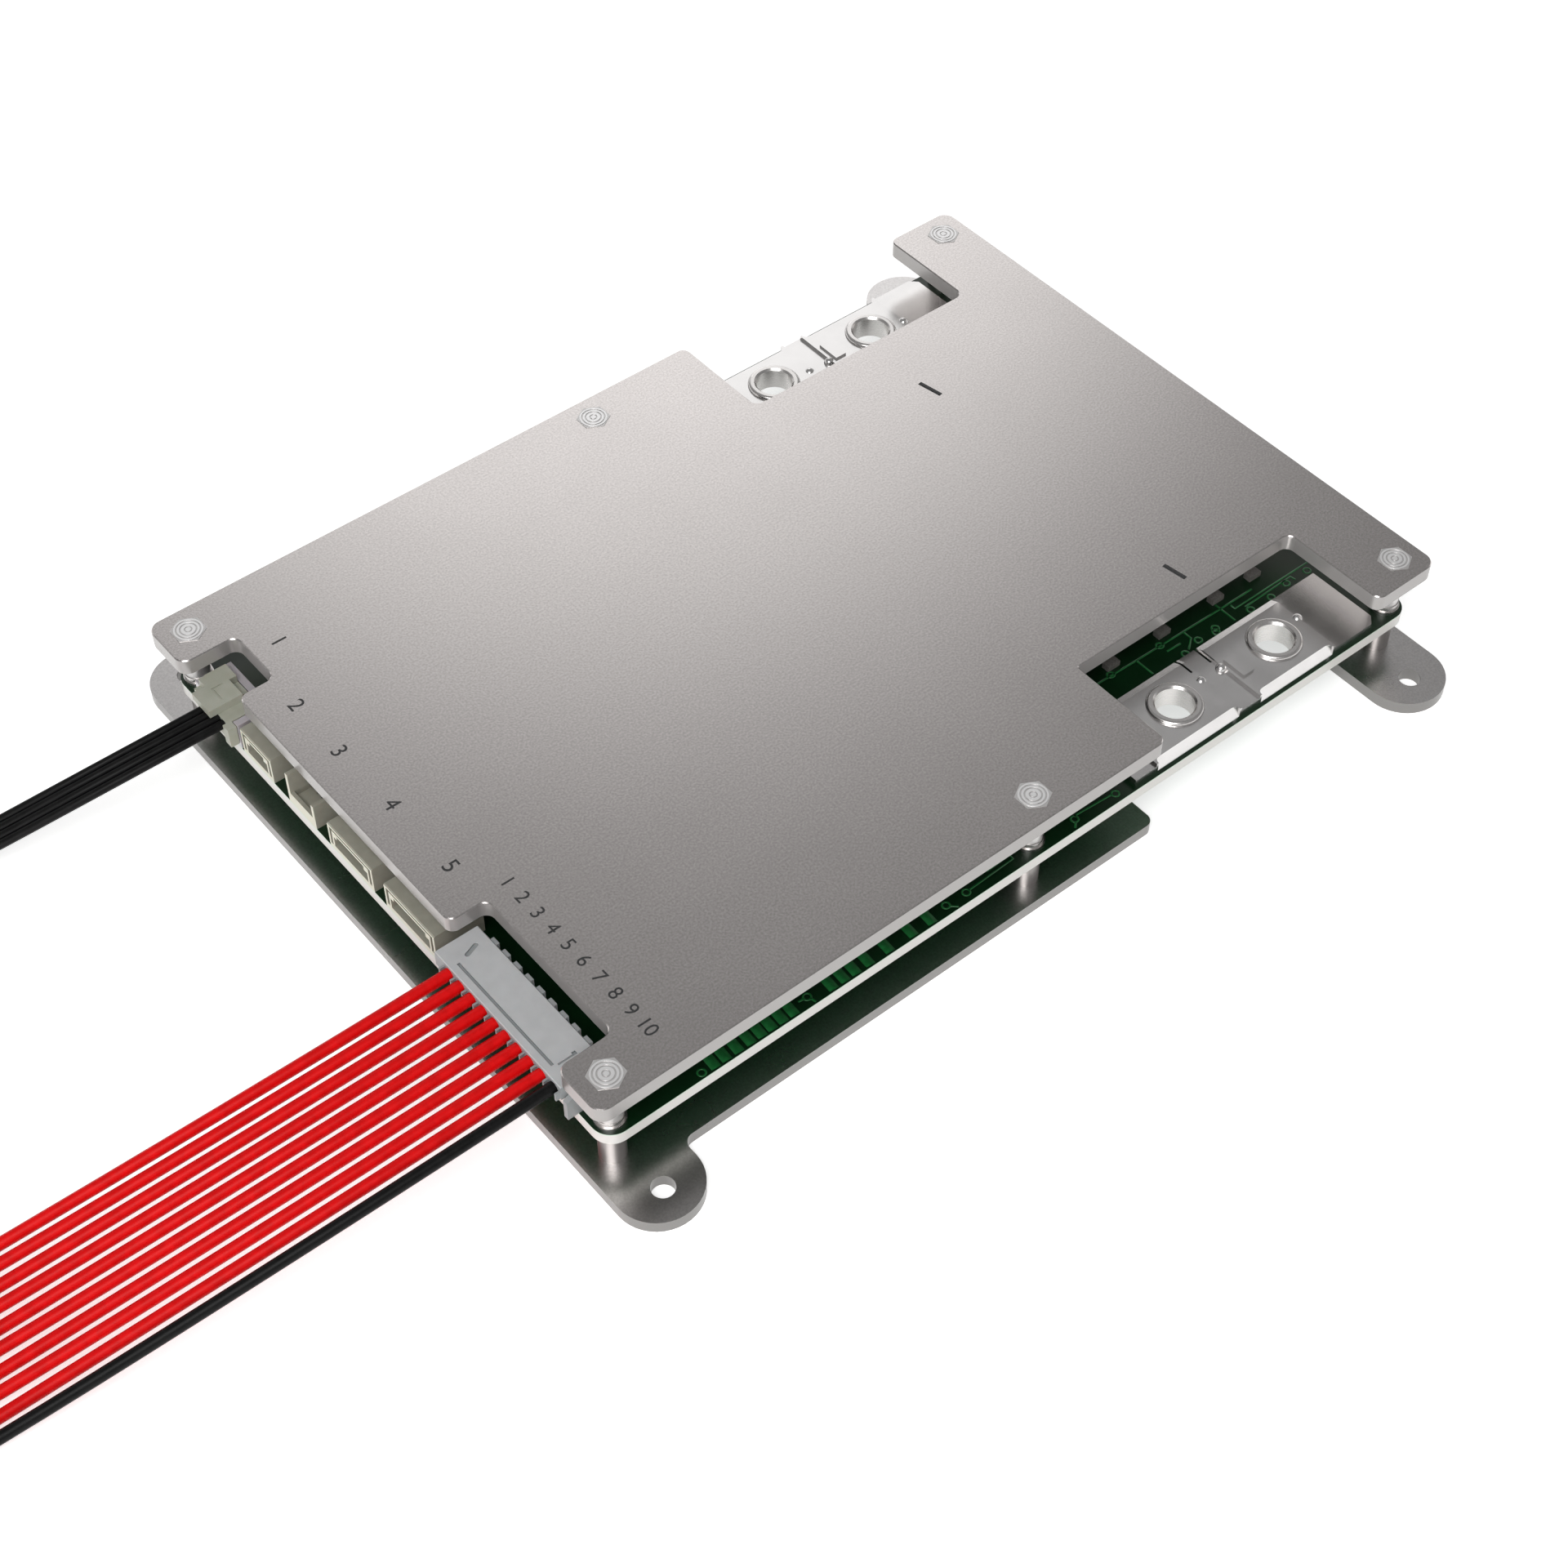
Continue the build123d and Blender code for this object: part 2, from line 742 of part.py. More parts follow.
def sensor_plug():
    """Stepped plug of the sensor wires, with a latch leg on its low side."""
    x = board_front
    low = sensor_header_low
    header_top = board_top + sensor_header_height
    top = header_top + sensor_plug_rise
    gap = sensor_plug_play
    inner = (low + sensor_wall + gap, sensor_header_high - sensor_wall - gap)
    back = x + sensor_header_back - sensor_wall - gap
    block_low, block_high = low + sensor_block_low, low + sensor_block_high
    rear_low = low + sensor_rear_low
    leg_high = low + sensor_leg_high
    upper = (header_top, top)
    plug = block((x - sensor_body_front, back), inner, (board_top + header_floor + gap, header_top))
    plug += block((x, x + sensor_main_back), (block_low, inner[1]), upper)
    plug += block((x + sensor_step, x + sensor_rear_reach), (rear_low, inner[1] + gap), upper)
    plug += block((x - sensor_front, x + sensor_step), (block_low, block_high), (top - sensor_face, top))
    leg = (x - sensor_leg_front, x - gap)
    leg_top = board_top + sensor_leg_height
    plug += block(leg, (low + sensor_leg_low, leg_high), (board_top + sensor_leg_lift, leg_top))
    mark = (top - sensor_mark / 2, top + 1)
    start = x + sensor_mark_start
    plug -= block((start, start + sensor_mark), (block_low + sensor_step, rear_low), mark)
    plug -= block((start, x + sensor_mark_end), (rear_low - sensor_mark, rear_low), mark)
    return plug


def balance_header():
    """Header under the balance plug: floor, back wall and braced end walls."""
    x = board_front
    low, high = plug_low - balance_play, plug_high + balance_play
    skirt = board_top + plug_skirt_rise - balance_play
    back = x + plug_back
    header = block((x, back), (low, high), (board_top, board_top + balance_floor))
    header += block((back - balance_back_wall, back), (low, high), (board_top, skirt))
    for y in (low, high - balance_wall):
        header += block((x, back), (y, y + balance_wall), (board_top, skirt))
    header += balance_brace(low - balance_brace_thick)
    return pin_channels(header, low, high)


def balance_brace(y):
    """Three-cornered brace that stands beside the plug on the low side."""
    x = board_front
    side = [
        (x - balance_brace_reach, board_top),
        (x + balance_brace_back, board_top),
        (x + balance_brace_back, board_top + plug_top_rise - balance_brace_drop),
        (x - balance_brace_reach, board_top + plug_skirt_rise),
    ]
    face = make_face(Polyline(*[(px, y, pz) for px, pz in side], close=True))
    foot = (y, y + balance_brace_thick + balance_wall)
    brace = extrude(face, balance_brace_thick, dir=(0, 1, 0))
    return brace + block((x, x + balance_brace_back), foot, (board_top, board_top + balance_floor))


def balance_plug():
    """Ten-way plug with rear teeth, a long slot and a comb between its wires."""
    x = board_front
    front = x - plug_front
    back = x + plug_back
    skirt = board_top + plug_skirt_rise
    top = board_top + plug_top_rise
    plug = block((front, back - plug_tooth_depth), (plug_low, plug_high), (skirt, top))
    plug = chamfer(plug.edges().filter_by(Axis.Y).group_by(Axis.Z)[-1], plug_bevel)
    inset = plug_lower_inset
    lower_back = back - balance_back_wall - balance_play
    foot = board_top + plug_foot_rise
    plug += block((x + plug_body_inset, lower_back), (plug_low + inset, plug_high - inset), (foot, skirt))
    for n in range(tap_count - 1):
        y = tap_wire_first - n * tap_pitch
        tooth = (y - plug_tooth_width / 2, y + plug_tooth_width / 2)
        plug += block((back - 1, back), tooth, (skirt, top - plug_tooth_drop))
    slot_x = front + plug_slot_inset
    slot = (plug_low + plug_slot_margin, plug_high - plug_slot_margin)
    plug -= block((slot_x, slot_x + plug_slot_width), slot, (top - plug_slot, top + 1))
    oval = SlotCenterToCenter(*plug_oval, rotation=plug_oval_turn)
    oval_x, oval_y = plug_oval_place
    plug -= Pos(x + oval_x, plug_high - oval_y, top - plug_slot) * extrude(oval, 2 * plug_slot)
    mark = plug_low + plug_mark_margin
    socket_x = [x + reach for reach in plug_socket]
    groove_x = [x + reach for reach in plug_groove]
    plug -= block(socket_x, (mark, mark + plug_mark_width), (top - plug_slot, top + 1))
    plug -= block(groove_x, (mark, mark + plug_mark_width / 2), (top - plug_slot / 2, top + 1))
    return plug + balance_comb(front)


def balance_comb(front):
    """Thin walls between the wires, in front of the plug."""
    tip = front - plug_comb_reach
    z_range = (tap_exit_z - plug_comb_low, tap_exit_z + plug_comb_high)
    walls = None
    for n in range(tap_count + 1):
        y = tap_wire_first + tap_pitch / 2 - n * tap_pitch
        across = (y - plug_comb_wall / 2, y + plug_comb_wall / 2)
        wall = block((tip, front), across, z_range)
        walls = wall if walls is None else walls + wall
    return walls


def power_transistor(x, y):
    """Surface-mounted power transistor with its metal tab and two legs."""
    half = transistor_width / 2
    end = transistor_length / 2
    body = block((x - half, x + half), (y - end, y + end), (board_top, board_top + transistor_height))
    body = chamfer(body.faces().sort_by(Axis.Z)[-1].edges(), transistor_bevel)
    tab_half = half - transistor_tab_inset
    tab_y = (y + end, y + end + transistor_tab)
    body += block((x - tab_half, x + tab_half), tab_y, (board_top, board_top + transistor_tab_thick))
    leg_y = (y - end - leg_length, y - end)
    for middle in (x - leg_spacing, x + leg_spacing):
        across = (middle - leg_width / 2, middle + leg_width / 2)
        body += block(across, leg_y, (board_top, board_top + leg_thick))
    return body


def transistor_places():
    """Middles of the power transistors."""
    columns = [transistor_first + n * transistor_pitch for n in range(transistor_columns)]
    return [(x, y) for y in transistor_rows for x in columns]


def thermal_pad(y):
    """Soft pad that fills the gap between a transistor row and the cover."""
    half = transistor_length / 2
    first = transistor_first - transistor_width / 2 - pad_overhang
    last = transistor_first + (transistor_columns - 1) * transistor_pitch + transistor_width / 2
    z_range = (board_top + transistor_height, cover_bottom)
    return block((first, last + pad_overhang), (y - half, y + half), z_range)


def current_shunt(n):
    """Bent metal strip that measures the current."""
    x = shunt_start + n * shunt_pitch
    half = shunt_length / 2
    y = shunt_line
    low, high = board_top, board_top + shunt_rise
    profile = [
        (y - half, low),
        (y - half + shunt_foot, low),
        (y - half + shunt_foot, high - shunt_thick),
        (y + half - shunt_foot, high - shunt_thick),
        (y + half - shunt_foot, low),
        (y + half, low),
        (y + half, low + shunt_thick),
        (y + half - shunt_foot + shunt_thick, high),
        (y - half + shunt_foot - shunt_thick, high),
        (y - half, low + shunt_thick),
    ]
    face = make_face(Polyline(*[(x, py, pz) for py, pz in profile], close=True))
    return extrude(face, shunt_width, dir=(1, 0, 0))


def leaded_chip(place):
    """Square chip with a row of leads on each side."""
    half = chip_side / 2
    low = board_top + chip_gap
    body = Box(chip_side, chip_side, chip_height)
    chip = Pos(0, 0, low + chip_height / 2) * chamfer(body.edges().filter_by(Axis.Z), chip_bevel)
    for turn in range(4):
        for n in range(lead_count):
            y = (n - (lead_count - 1) / 2) * lead_pitch
            lead = block(
                (half - lead_thick, half + lead_reach),
                (y - lead_width / 2, y + lead_width / 2),
                (board_top, board_top + lead_thick),
            )
            chip += Rot(0, 0, 90 * turn) * lead
    return Pos(*place, 0) * chip


def filter_can(place):
    """Small can capacitor on its square base."""
    x, y = board_front + place[0], place[1]
    half = can_base / 2
    base_range = (board_top, board_top + can_base_height)
    base = block((x - half, x + half), (y - half, y + half), base_range)
    can = disc(x, y, can_size, (base_range[1], board_top + can_height))
    return base + fillet(can.edges().sort_by(Axis.Z)[-1], can_round)


def power_inductor():
    """Moulded square inductor."""
    x, y = board_front + inductor_start, cover_side - inductor_side_inset
    half = coil_side / 2
    body = block((x - half, x + half), (y - half, y + half), (board_top, board_top + coil_height))
    body = fillet(body.edges().filter_by(Axis.Z), coil_corner)
    return chamfer(body.faces().sort_by(Axis.Z)[-1].edges(), coil_bevel)


def small_chip(x):
    """Small chip beside the battery terminals."""
    half = small_chip_length / 2
    across = (small_chip_line - small_chip_width / 2, small_chip_line + small_chip_width / 2)
    return block((x - half, x + half), across, (board_top, board_top + small_chip_height))


def chip_resistor(n):
    """Bleed resistor in the row beside the balance connector."""
    x = resistor_first + n * resistor_pitch
    half = resistor_width / 2
    y = resistor_line
    span = (y - resistor_length / 2, y + resistor_length / 2)
    return block((x - half, x + half), span, (board_top, board_top + resistor_height))


def tap_route(n):
    """Points of one balance wire, from the plug to its coil."""
    y = tap_wire_first - n * tap_pitch
    floor_y = y + tap_drift
    bundle_y = tap_bundle_y + (2 - n // 2) * bundle_pitch
    layer_z = tap_floor_z + coil_lift + (n % 2) * bundle_pitch
    x1, x2, x3, x4, x5 = tap_route_x
    return [
        (board_front - plug_front, y, tap_exit_z),
        (x1, y, tap_exit_z),
        (x2, floor_y, tap_floor_z),
        (x3, floor_y, layer_z),
        (x4, bundle_y, layer_z),
        (x5, bundle_y, layer_z),
    ]


def sensor_route(n):
    """Points of one sensor wire, from the plug to its coil."""
    y = sensor_wire_first - n * sensor_wire_pitch
    floor_y = y + sensor_drift
    bundle_y = sensor_bundle_y + (0.5 - n // 2) * sensor_bundle_pitch
    layer_z = sensor_floor_z + coil_lift + (n % 2) * sensor_bundle_pitch
    x1, x2, x3, x4, x5 = sensor_route_x
    return [
        (board_front - sensor_body_front, y, sensor_exit_z),
        (x1, y, sensor_exit_z),
        (x2, floor_y, sensor_floor_z),
        (x3, floor_y, layer_z),
        (x4, bundle_y, layer_z),
        (x5, bundle_y, layer_z),
    ]


def bend_radii(points):
    """Largest smooth arc at each corner of a route."""
    corners = [Vector(*p) for p in points]
    radii = []
    for a, b, c in zip(corners, corners[1:], corners[2:]):
        half_turn = math.radians((b - a).get_angle(c - b)) / 2
        radii.append(0.45 * min((b - a).length, (c - b).length) / math.tan(half_turn))
    return radii


def wire(points, size):
    """Round wire along straight runs joined by arcs."""
    radii = bend_radii(points)
    path = FilletPolyline(*points, radius=radii)
    section = Plane(origin=path @ 0, z_dir=path % 0) * Circle(size / 2)
    tube = sweep(section, path=path)
    expected = math.pi * size**2 / 4 * path.length
    print("wire", round(path.length, 1), "mm, radii", [round(r, 1) for r in radii], end=" ")
    print("volume ratio", round(tube.volume / expected, 4))
    return tube


def flat_coil(start, entry, lead_x, radius, inner, size, pitch, columns, turn_side):
    """Outer shape of a flat coil: it narrows by its own width in each turn."""
    width = (columns - 1) * pitch + size
    z_range = (coil_lift, coil_lift + pitch + size + 2 * floor_gap)
    shrink = (columns * pitch + coil_turn_gap) / 4
    middle_y = entry + turn_side * radius
    first = radius + width / 2 - shrink
    halves = [(first, -1, (start - 2 * radius, start)), (first - 2 * shrink, 1, (start, start + 2 * radius))]
    lead = (entry - width / 2, entry + width / 2)
    coil = block((start, lead_x), lead, z_range)
    for outer, side, x_range in halves:
        y = middle_y + turn_side * side * shrink
        half = block(x_range, (y - 2 * radius, y + 2 * radius), z_range)
        coil += disc(start, y, 2 * outer, z_range) & half
    return coil - disc(start, middle_y, 2 * inner, z_range)


def tap_coil():
    """Flat coil of the ten balance wires."""
    return flat_coil(
        tap_coil_start,
        tap_bundle_y,
        tap_route_x[-1],
        tap_coil_radius,
        tap_coil_inner,
        tap_wire_size,
        bundle_pitch,
        tap_count // 2,
        1,
    )


def sensor_coil():
    """Flat coil of the four sensor wires."""
    return flat_coil(
        sensor_coil_start,
        sensor_bundle_y,
        sensor_route_x[-1],
        sensor_coil_radius,
        sensor_coil_inner,
        sensor_wire_size,
        sensor_bundle_pitch,
        sensor_wire_count // 2,
        -1,
    )


def coil_reach(radius, size, pitch, columns, turned):
    """How far a coil's outer shape stands from its middle, after some of a turn."""
    width = (columns - 1) * pitch + size
    return radius + width / 2 - turned * (columns * pitch + coil_turn_gap)


def cable_tie(centre, inner, outer, height, angle):
    """Strap round a coil's section, with its head on the outer side."""
    play = tie_play
    high = coil_lift + height + play
    length, depth = tie_head
    half = tie_width / 2
    strap = block((inner - play - tie_thick, outer + play + tie_thick), (-half, half), (0, high + tie_thick))
    strap -= block((inner - play, outer + play), (-half, half), (coil_lift - play, high))
    head_start = outer + play + tie_thick
    strap += block((head_start, head_start + depth), (-length / 2, length / 2), (0, high))
    return Pos(*centre, 0) * Rot(0, 0, angle) * strap


def cable_ties():
    """Two straps on the balance coil and one on the sensor coil."""
    tap_centre = (tap_coil_start, tap_bundle_y + tap_coil_radius)
    sensor_centre = (sensor_coil_start, sensor_bundle_y - sensor_coil_radius)
    tap = (tap_coil_radius, tap_wire_size, bundle_pitch, tap_count // 2)
    sensor = (sensor_coil_radius, sensor_wire_size, sensor_bundle_pitch, sensor_wire_count // 2)
    tap_height = bundle_pitch + tap_wire_size + 2 * floor_gap
    sensor_height = sensor_bundle_pitch + sensor_wire_size + 2 * floor_gap
    return group(
        [
            cable_tie(tap_centre, tap_coil_inner, coil_reach(*tap, 0.25), tap_height, 180),
            cable_tie(tap_centre, tap_coil_inner, coil_reach(*tap, 0.5), tap_height, 90),
            cable_tie(sensor_centre, sensor_coil_inner, coil_reach(*sensor, 0.5), sensor_height, -90),
        ]
    )


def sensor_bead(side):
    """Sealed temperature sensor that lies inside the sensor coil."""
    x = sensor_coil_start + side * (sensor_coil_inner - bead_gap - bead_size / 2)
    y = sensor_bundle_y - sensor_coil_radius
    bead = Pos(x, y, bead_size / 2) * Rot(90, 0, 0) * Cylinder(bead_size / 2, bead_length)
    return fillet(bead.edges().filter_by(GeomType.CIRCLE), bead_round)


def tap_wires():
    """Ten balance wires, one node each."""
    return {f"balance_wire_{n + 1:02d}": wire(tap_route(n), tap_wire_size) for n in range(tap_count)}


def sensor_wires():
    """Four sensor wires, one node each."""
    return {f"sensor_wire_{n + 1}": wire(sensor_route(n), sensor_wire_size) for n in range(sensor_wire_count)}


def all_nodes():
    """Every sub-part by its name."""
    battery_nuts = group([terminal_nut(x) for x in nut_places])
    nodes = {
        "base_plate": base_plate(),
        "cover_plate": cover_plate(),
        "circuit_board": circuit_board(),
        "base_studs": stack_group(base_stud),
        "lower_spacers": stack_group(lower_spacer),
        "flat_washers": stack_group(flat_washer),
        "lock_washers": stack_group(lock_washer),
        "cover_standoffs": stack_group(cover_standoff),
        "battery_bar": battery_bar(),
        "load_bar": mirrored_y(battery_bar()),
        "battery_nuts": battery_nuts,
        "load_nuts": group([mirrored_y(terminal_nut(x)) for x in nut_places]),
        "three_way_header": window_header(three_way_start, three_way_width),
        "four_way_header": window_header(four_way_start, four_way_width),
        "five_way_header": window_header(five_way_start, five_way_width),
        "open_header": open_header(),
        "header_pins": header_pins(),
        "sensor_header": sensor_header(),
        "sensor_plug": sensor_plug(),
        "balance_header": balance_header(),
        "balance_plug": balance_plug(),
        "power_transistors": group([power_transistor(x, y) for x, y in transistor_places()]),
        "thermal_pads": group([thermal_pad(y) for y in transistor_rows]),
        "current_shunts": group([current_shunt(n) for n in range(shunt_count)]),
        "controller_chip": leaded_chip((board_front + controller_start, controller_y)),
        "monitor_chip": leaded_chip((board_front + monitor_start, monitor_side_inset - cover_side)),
        "filter_cans": group([filter_can(place) for place in can_places]),
        "power_inductor": power_inductor(),
        "small_chips": group([small_chip(bar_start + x) for x in small_chip_places]),
        "bleed_resistors": group([chip_resistor(n) for n in range(resistor_count)]),
        "balance_wire_coil": tap_coil(),
        "sensor_wire_coil": sensor_coil(),
        "cable_ties": cable_ties(),
        "sensor_beads": group([sensor_bead(side) for side in (-1, 1)]),
    }
    nodes.update(tap_wires())
    nodes.update(sensor_wires())
    return nodes


os.makedirs("parts", exist_ok=True)
for name, shape in all_nodes().items():
    export_step(shape, f"parts/{name}.step")
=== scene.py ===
import math

import bmesh
import bpy
from mathutils import Matrix, Vector


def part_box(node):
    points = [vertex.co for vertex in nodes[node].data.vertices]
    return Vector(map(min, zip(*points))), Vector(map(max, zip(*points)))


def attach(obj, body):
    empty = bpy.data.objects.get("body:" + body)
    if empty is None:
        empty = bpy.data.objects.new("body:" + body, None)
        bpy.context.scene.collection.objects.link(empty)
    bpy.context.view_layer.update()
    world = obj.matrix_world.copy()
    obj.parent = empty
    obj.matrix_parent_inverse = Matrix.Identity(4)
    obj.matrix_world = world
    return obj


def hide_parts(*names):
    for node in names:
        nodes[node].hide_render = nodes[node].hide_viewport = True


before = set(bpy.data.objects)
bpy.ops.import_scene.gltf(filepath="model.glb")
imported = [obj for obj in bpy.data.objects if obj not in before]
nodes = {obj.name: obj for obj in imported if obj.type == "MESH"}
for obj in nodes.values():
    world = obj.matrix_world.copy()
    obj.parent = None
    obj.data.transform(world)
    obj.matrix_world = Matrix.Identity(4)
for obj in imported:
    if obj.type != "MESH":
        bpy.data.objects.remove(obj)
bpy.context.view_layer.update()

mm = 0.001
metre = 1000.0

# Camera, solved from the photograph's straight edges
camera_place = Vector((-172.3, -206.8, 286.6)) * mm
camera_back = Vector((-0.4167, -0.5082, 0.7537))
camera_lens = 61.31
camera_sensor = 36.0
camera_near = 0.01

# Levels and fronts of the solids
board_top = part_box("circuit_board")[1].z
board_middle = (board_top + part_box("circuit_board")[0].z) / 2
cover_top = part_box("cover_plate")[1].z
header_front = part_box("three_way_header")[0].x
plug_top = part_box("balance_plug")[1].z

# Balance wires, ten in a row, then in a bundle five wide and two high; all route values in millimetres
tap_count = 10
tap_columns = 5
tap_pitch = 2.5
tap_size = 1.7
tap_first_y = -20.95
tap_exit = (-75.0, 14.3)
tap_bundle_y = -21.4
tap_bundle_pitch = 1.9
tap_bundle_low = 1.9
tap_floor = 0.9
tap_drift = 10.1
tap_fan = 0.155
tap_route_x = (-101.0, -148.0, -175.0, -196.0, -206.0)
tap_coil_x = -210.0
tap_coil_radius = 32.0
tap_coil_gap = 0.3
tap_coil_end = 11.5

# Sensor wires, four in a row, then in a bundle two wide and two high
sensor_count = 4
sensor_columns = 2
sensor_pitch = 1.37
sensor_size = 1.3
sensor_first_y = 39.15
sensor_exit = (-74.2, 13.55)
sensor_bundle_y = 48.9
sensor_bundle_pitch = 1.45
sensor_bundle_low = 1.7
sensor_floor = 0.7
sensor_drift = 11.45
sensor_route_x = (-90.0, -116.0, -132.0, -146.0, -153.0)
sensor_coil_x = -156.0
sensor_coil_radius = 17.0
sensor_coil_gap = 0.3
sensor_coil_ends = (19.6, 16.5)
bead_offset = 5.3
bead_half = 3.0
bead_entries = (0.8, 2.15)

# How finely a wire's coil and its round section are divided
turn_points = 16
wire_facets = 3
wire_steps = 6


def linear(code):
    """Turns an sRGB hex colour to linear red, green, blue and alpha."""
    parts = [int(code[i:i + 2], 16) / 255 for i in (1, 3, 5)]
    return tuple(p / 12.92 if p <= 0.04045 else ((p + 0.055) / 1.055) ** 2.4 for p in parts) + (1.0,)


def add_node(tree, kind, inputs=None, **settings):
    """Adds a node with its settings; an input is a value or another node's socket."""
    node = tree.nodes.new(kind)
    for name, value in settings.items():
        setattr(node, name, value)
    for key, value in (inputs or {}).items():
        if isinstance(value, bpy.types.NodeSocket):
            tree.links.new(value, node.inputs[key])
        else:
            node.inputs[key].default_value = value
    return node


# Camera and cords

def photo_camera():
    """The camera that sees the object as the photograph does."""
    data = bpy.data.cameras.new("photo_camera")
    data.sensor_width = camera_sensor
    data.lens = camera_lens
    data.clip_start = camera_near
    camera = bpy.data.objects.new("photo_camera", data)
    camera.location = camera_place
    camera.rotation_euler = camera_back.to_track_quat("Z", "Y").to_euler()
    bpy.context.collection.objects.link(camera)
    bpy.context.scene.camera = camera


def coil_turns(centre, radius, shrink, end, height, side):
    """Control points of flat coil turns that start below (side -1) or above (side 1) the centre."""
    points = []
    step = 2 * math.pi / turn_points
    count = int(end / step)
    for i in range(1, count + 1):
        turn = end * i / count
        r = radius - shrink * turn / (2 * math.pi)
        x = centre[0] - r * math.sin(turn)
        y = centre[1] + side * r * math.cos(turn)
        points.append((x, y, height))
    return points


def wire_curve(name, points, size):
    """A round wire along one smooth spline through the route, given in millimetres."""
    curve = bpy.data.curves.new(name, "CURVE")
    curve.dimensions = "3D"
    curve.bevel_depth = size * mm / 2
    curve.bevel_resolution = wire_facets
    curve.use_fill_caps = True
    curve.resolution_u = wire_steps
    spline = curve.splines.new("NURBS")
    spline.points.add(len(points) - 1)
    for control, place in zip(spline.points, points):
        control.co = (*(Vector(place) * mm), 1.0)
    spline.order_u = 3
    spline.use_endpoint_u = True
    wire = bpy.data.objects.new(name, curve)
    bpy.context.collection.objects.link(wire)
    return wire


def column_shift(column, columns, pitch):
    """How far a column of a bundle lies to the side of the bundle's middle."""
    return ((columns - 1) / 2 - column) * pitch


def tap_route(n):
    """The route of one balance wire, from its plug to its stripped end in the coil."""
    column = n // 2
    y = tap_first_y - n * tap_pitch
    floor_y = y + tap_drift - n * tap_fan
    x, z = tap_exit
    bundle_y = tap_bundle_y + column_shift(column, tap_columns, tap_bundle_pitch)
    layer = tap_bundle_low + n % 2 * tap_bundle_pitch
    down, floor, lift, line, start = tap_route_x
    centre = (tap_coil_x, tap_bundle_y + tap_coil_radius)
    radius = centre[1] - bundle_y
    shrink = tap_columns * tap_bundle_pitch + tap_coil_gap
    lead = [
        (x, y, z),
        (down, y, z),
        (floor, floor_y, tap_floor),
        (lift, floor_y, layer),
        (line, bundle_y, layer),
        (start, bundle_y, layer),
    ]
    return lead + coil_turns(centre, radius, shrink, tap_coil_end, layer, -1)


def sensor_route(n):
    """The route of one sensor wire, from its plug to the bead in the coil."""
    column = n // 2
    y = sensor_first_y - n * sensor_pitch
    x, z = sensor_exit
    bundle_y = sensor_bundle_y + column_shift(column, sensor_columns, sensor_bundle_pitch)
    layer = sensor_bundle_low + n % 2 * sensor_bundle_pitch
    down, floor, lift, line, start = sensor_route_x
    centre = (sensor_coil_x, sensor_bundle_y - sensor_coil_radius)
    radius = bundle_y - centre[1]
    shrink = sensor_columns * sensor_bundle_pitch + sensor_coil_gap
    lead = [
        (x, y, z),
        (down, y, z),
        (floor, y + sensor_drift, sensor_floor),
        (lift, y + sensor_drift, layer),
        (line, bundle_y, layer),
        (start, bundle_y, layer),
    ]
    side = 1 if column == 0 else -1
    bead = (centre[0] - side * bead_offset, centre[1] + side * bead_half, bead_entries[n % 2])
    turns = coil_turns(centre, radius, shrink, sensor_coil_ends[column], layer, 1)
    return lead + turns + [bead]


def spline_points(wire):
    """Points along a wire's own line, in metres, read from its spline."""
    line = wire.copy()
    line.data = wire.data.copy()
    line.data.bevel_depth = 0
    bpy.context.collection.objects.link(line)
    graph = bpy.context.evaluated_depsgraph_get()
    mesh = bpy.data.meshes.new_from_object(line.evaluated_get(graph))
    points = [v.co.copy() for v in mesh.vertices]
    bpy.data.objects.remove(line)
    return points


def mesh_object(name, mesh, *materials):
    """A new piece at the origin that rides on the board."""
    piece = bpy.data.objects.new(name, mesh)
    bpy.context.collection.objects.link(piece)
    for material in materials:
        mesh.materials.append(material)
    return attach(piece, "root")


# Finishes

mint_depth = 0.25  # the mask's pale line along the board's upper edge
ridge_height = 0.1  # where the turned rings of a hexagon head begin
lit_rim_depth = 0.03  # how deep the painted highlight on a socket's lit front rim goes
painted_shade_drop = 0.1  # how far below the plug's top the painted shade starts
noise_span = (0.35, 0.65)  # most values of a noise lie between these
edge_slope = 0.5  # a normal that rises less than this belongs to an upright edge


def finish(name, colour, roughness, metallic=0.0, **sockets):
    """A material with a named base colour; the patterns are added to it afterwards."""
    material = bpy.data.materials.new(name)
    material.use_nodes = True
    tree = material.node_tree
    shader = tree.nodes["Principled BSDF"]
    shader.inputs["Base Color"].default_value = linear(colour)
    shader.inputs["Roughness"].default_value = roughness
    shader.inputs["Metallic"].default_value = metallic
    for key, value in sockets.items():
        shader.inputs[key.replace("_", " ").title()].default_value = value
    return material, tree, shader


def grain(tree, size, detail=3.0, stretch=(1, 1, 1)):
    """Noise whose spots are about the given size in millimetres, stretched along an axis if asked."""
    place = add_node(tree, "ShaderNodeTexCoord").outputs["Object"]
    scaled = add_node(tree, "ShaderNodeMapping", {"Vector": place, "Scale": stretch})
    inputs = {"Vector": scaled.outputs["Vector"], "Scale": metre / size, "Detail": detail}
    return add_node(tree, "ShaderNodeTexNoise", inputs).outputs["Fac"]


def blend(tree, factor, first, second):
    """A colour between two others."""
    return add_node(tree, "ShaderNodeMix", {0: factor, 6: first, 7: second}, data_type="RGBA").outputs[2]


def tint(tree, shader, factor, dark, light):
    """Base colour that moves between two shades with the factor."""
    low, high = noise_span
    fraction = add_node(tree, "ShaderNodeMapRange", {"Value": factor, "From Min": low, "From Max": high})
    colour = blend(tree, fraction.outputs["Result"], linear(dark), linear(light))
    tree.links.new(colour, shader.inputs["Base Color"])
    return colour


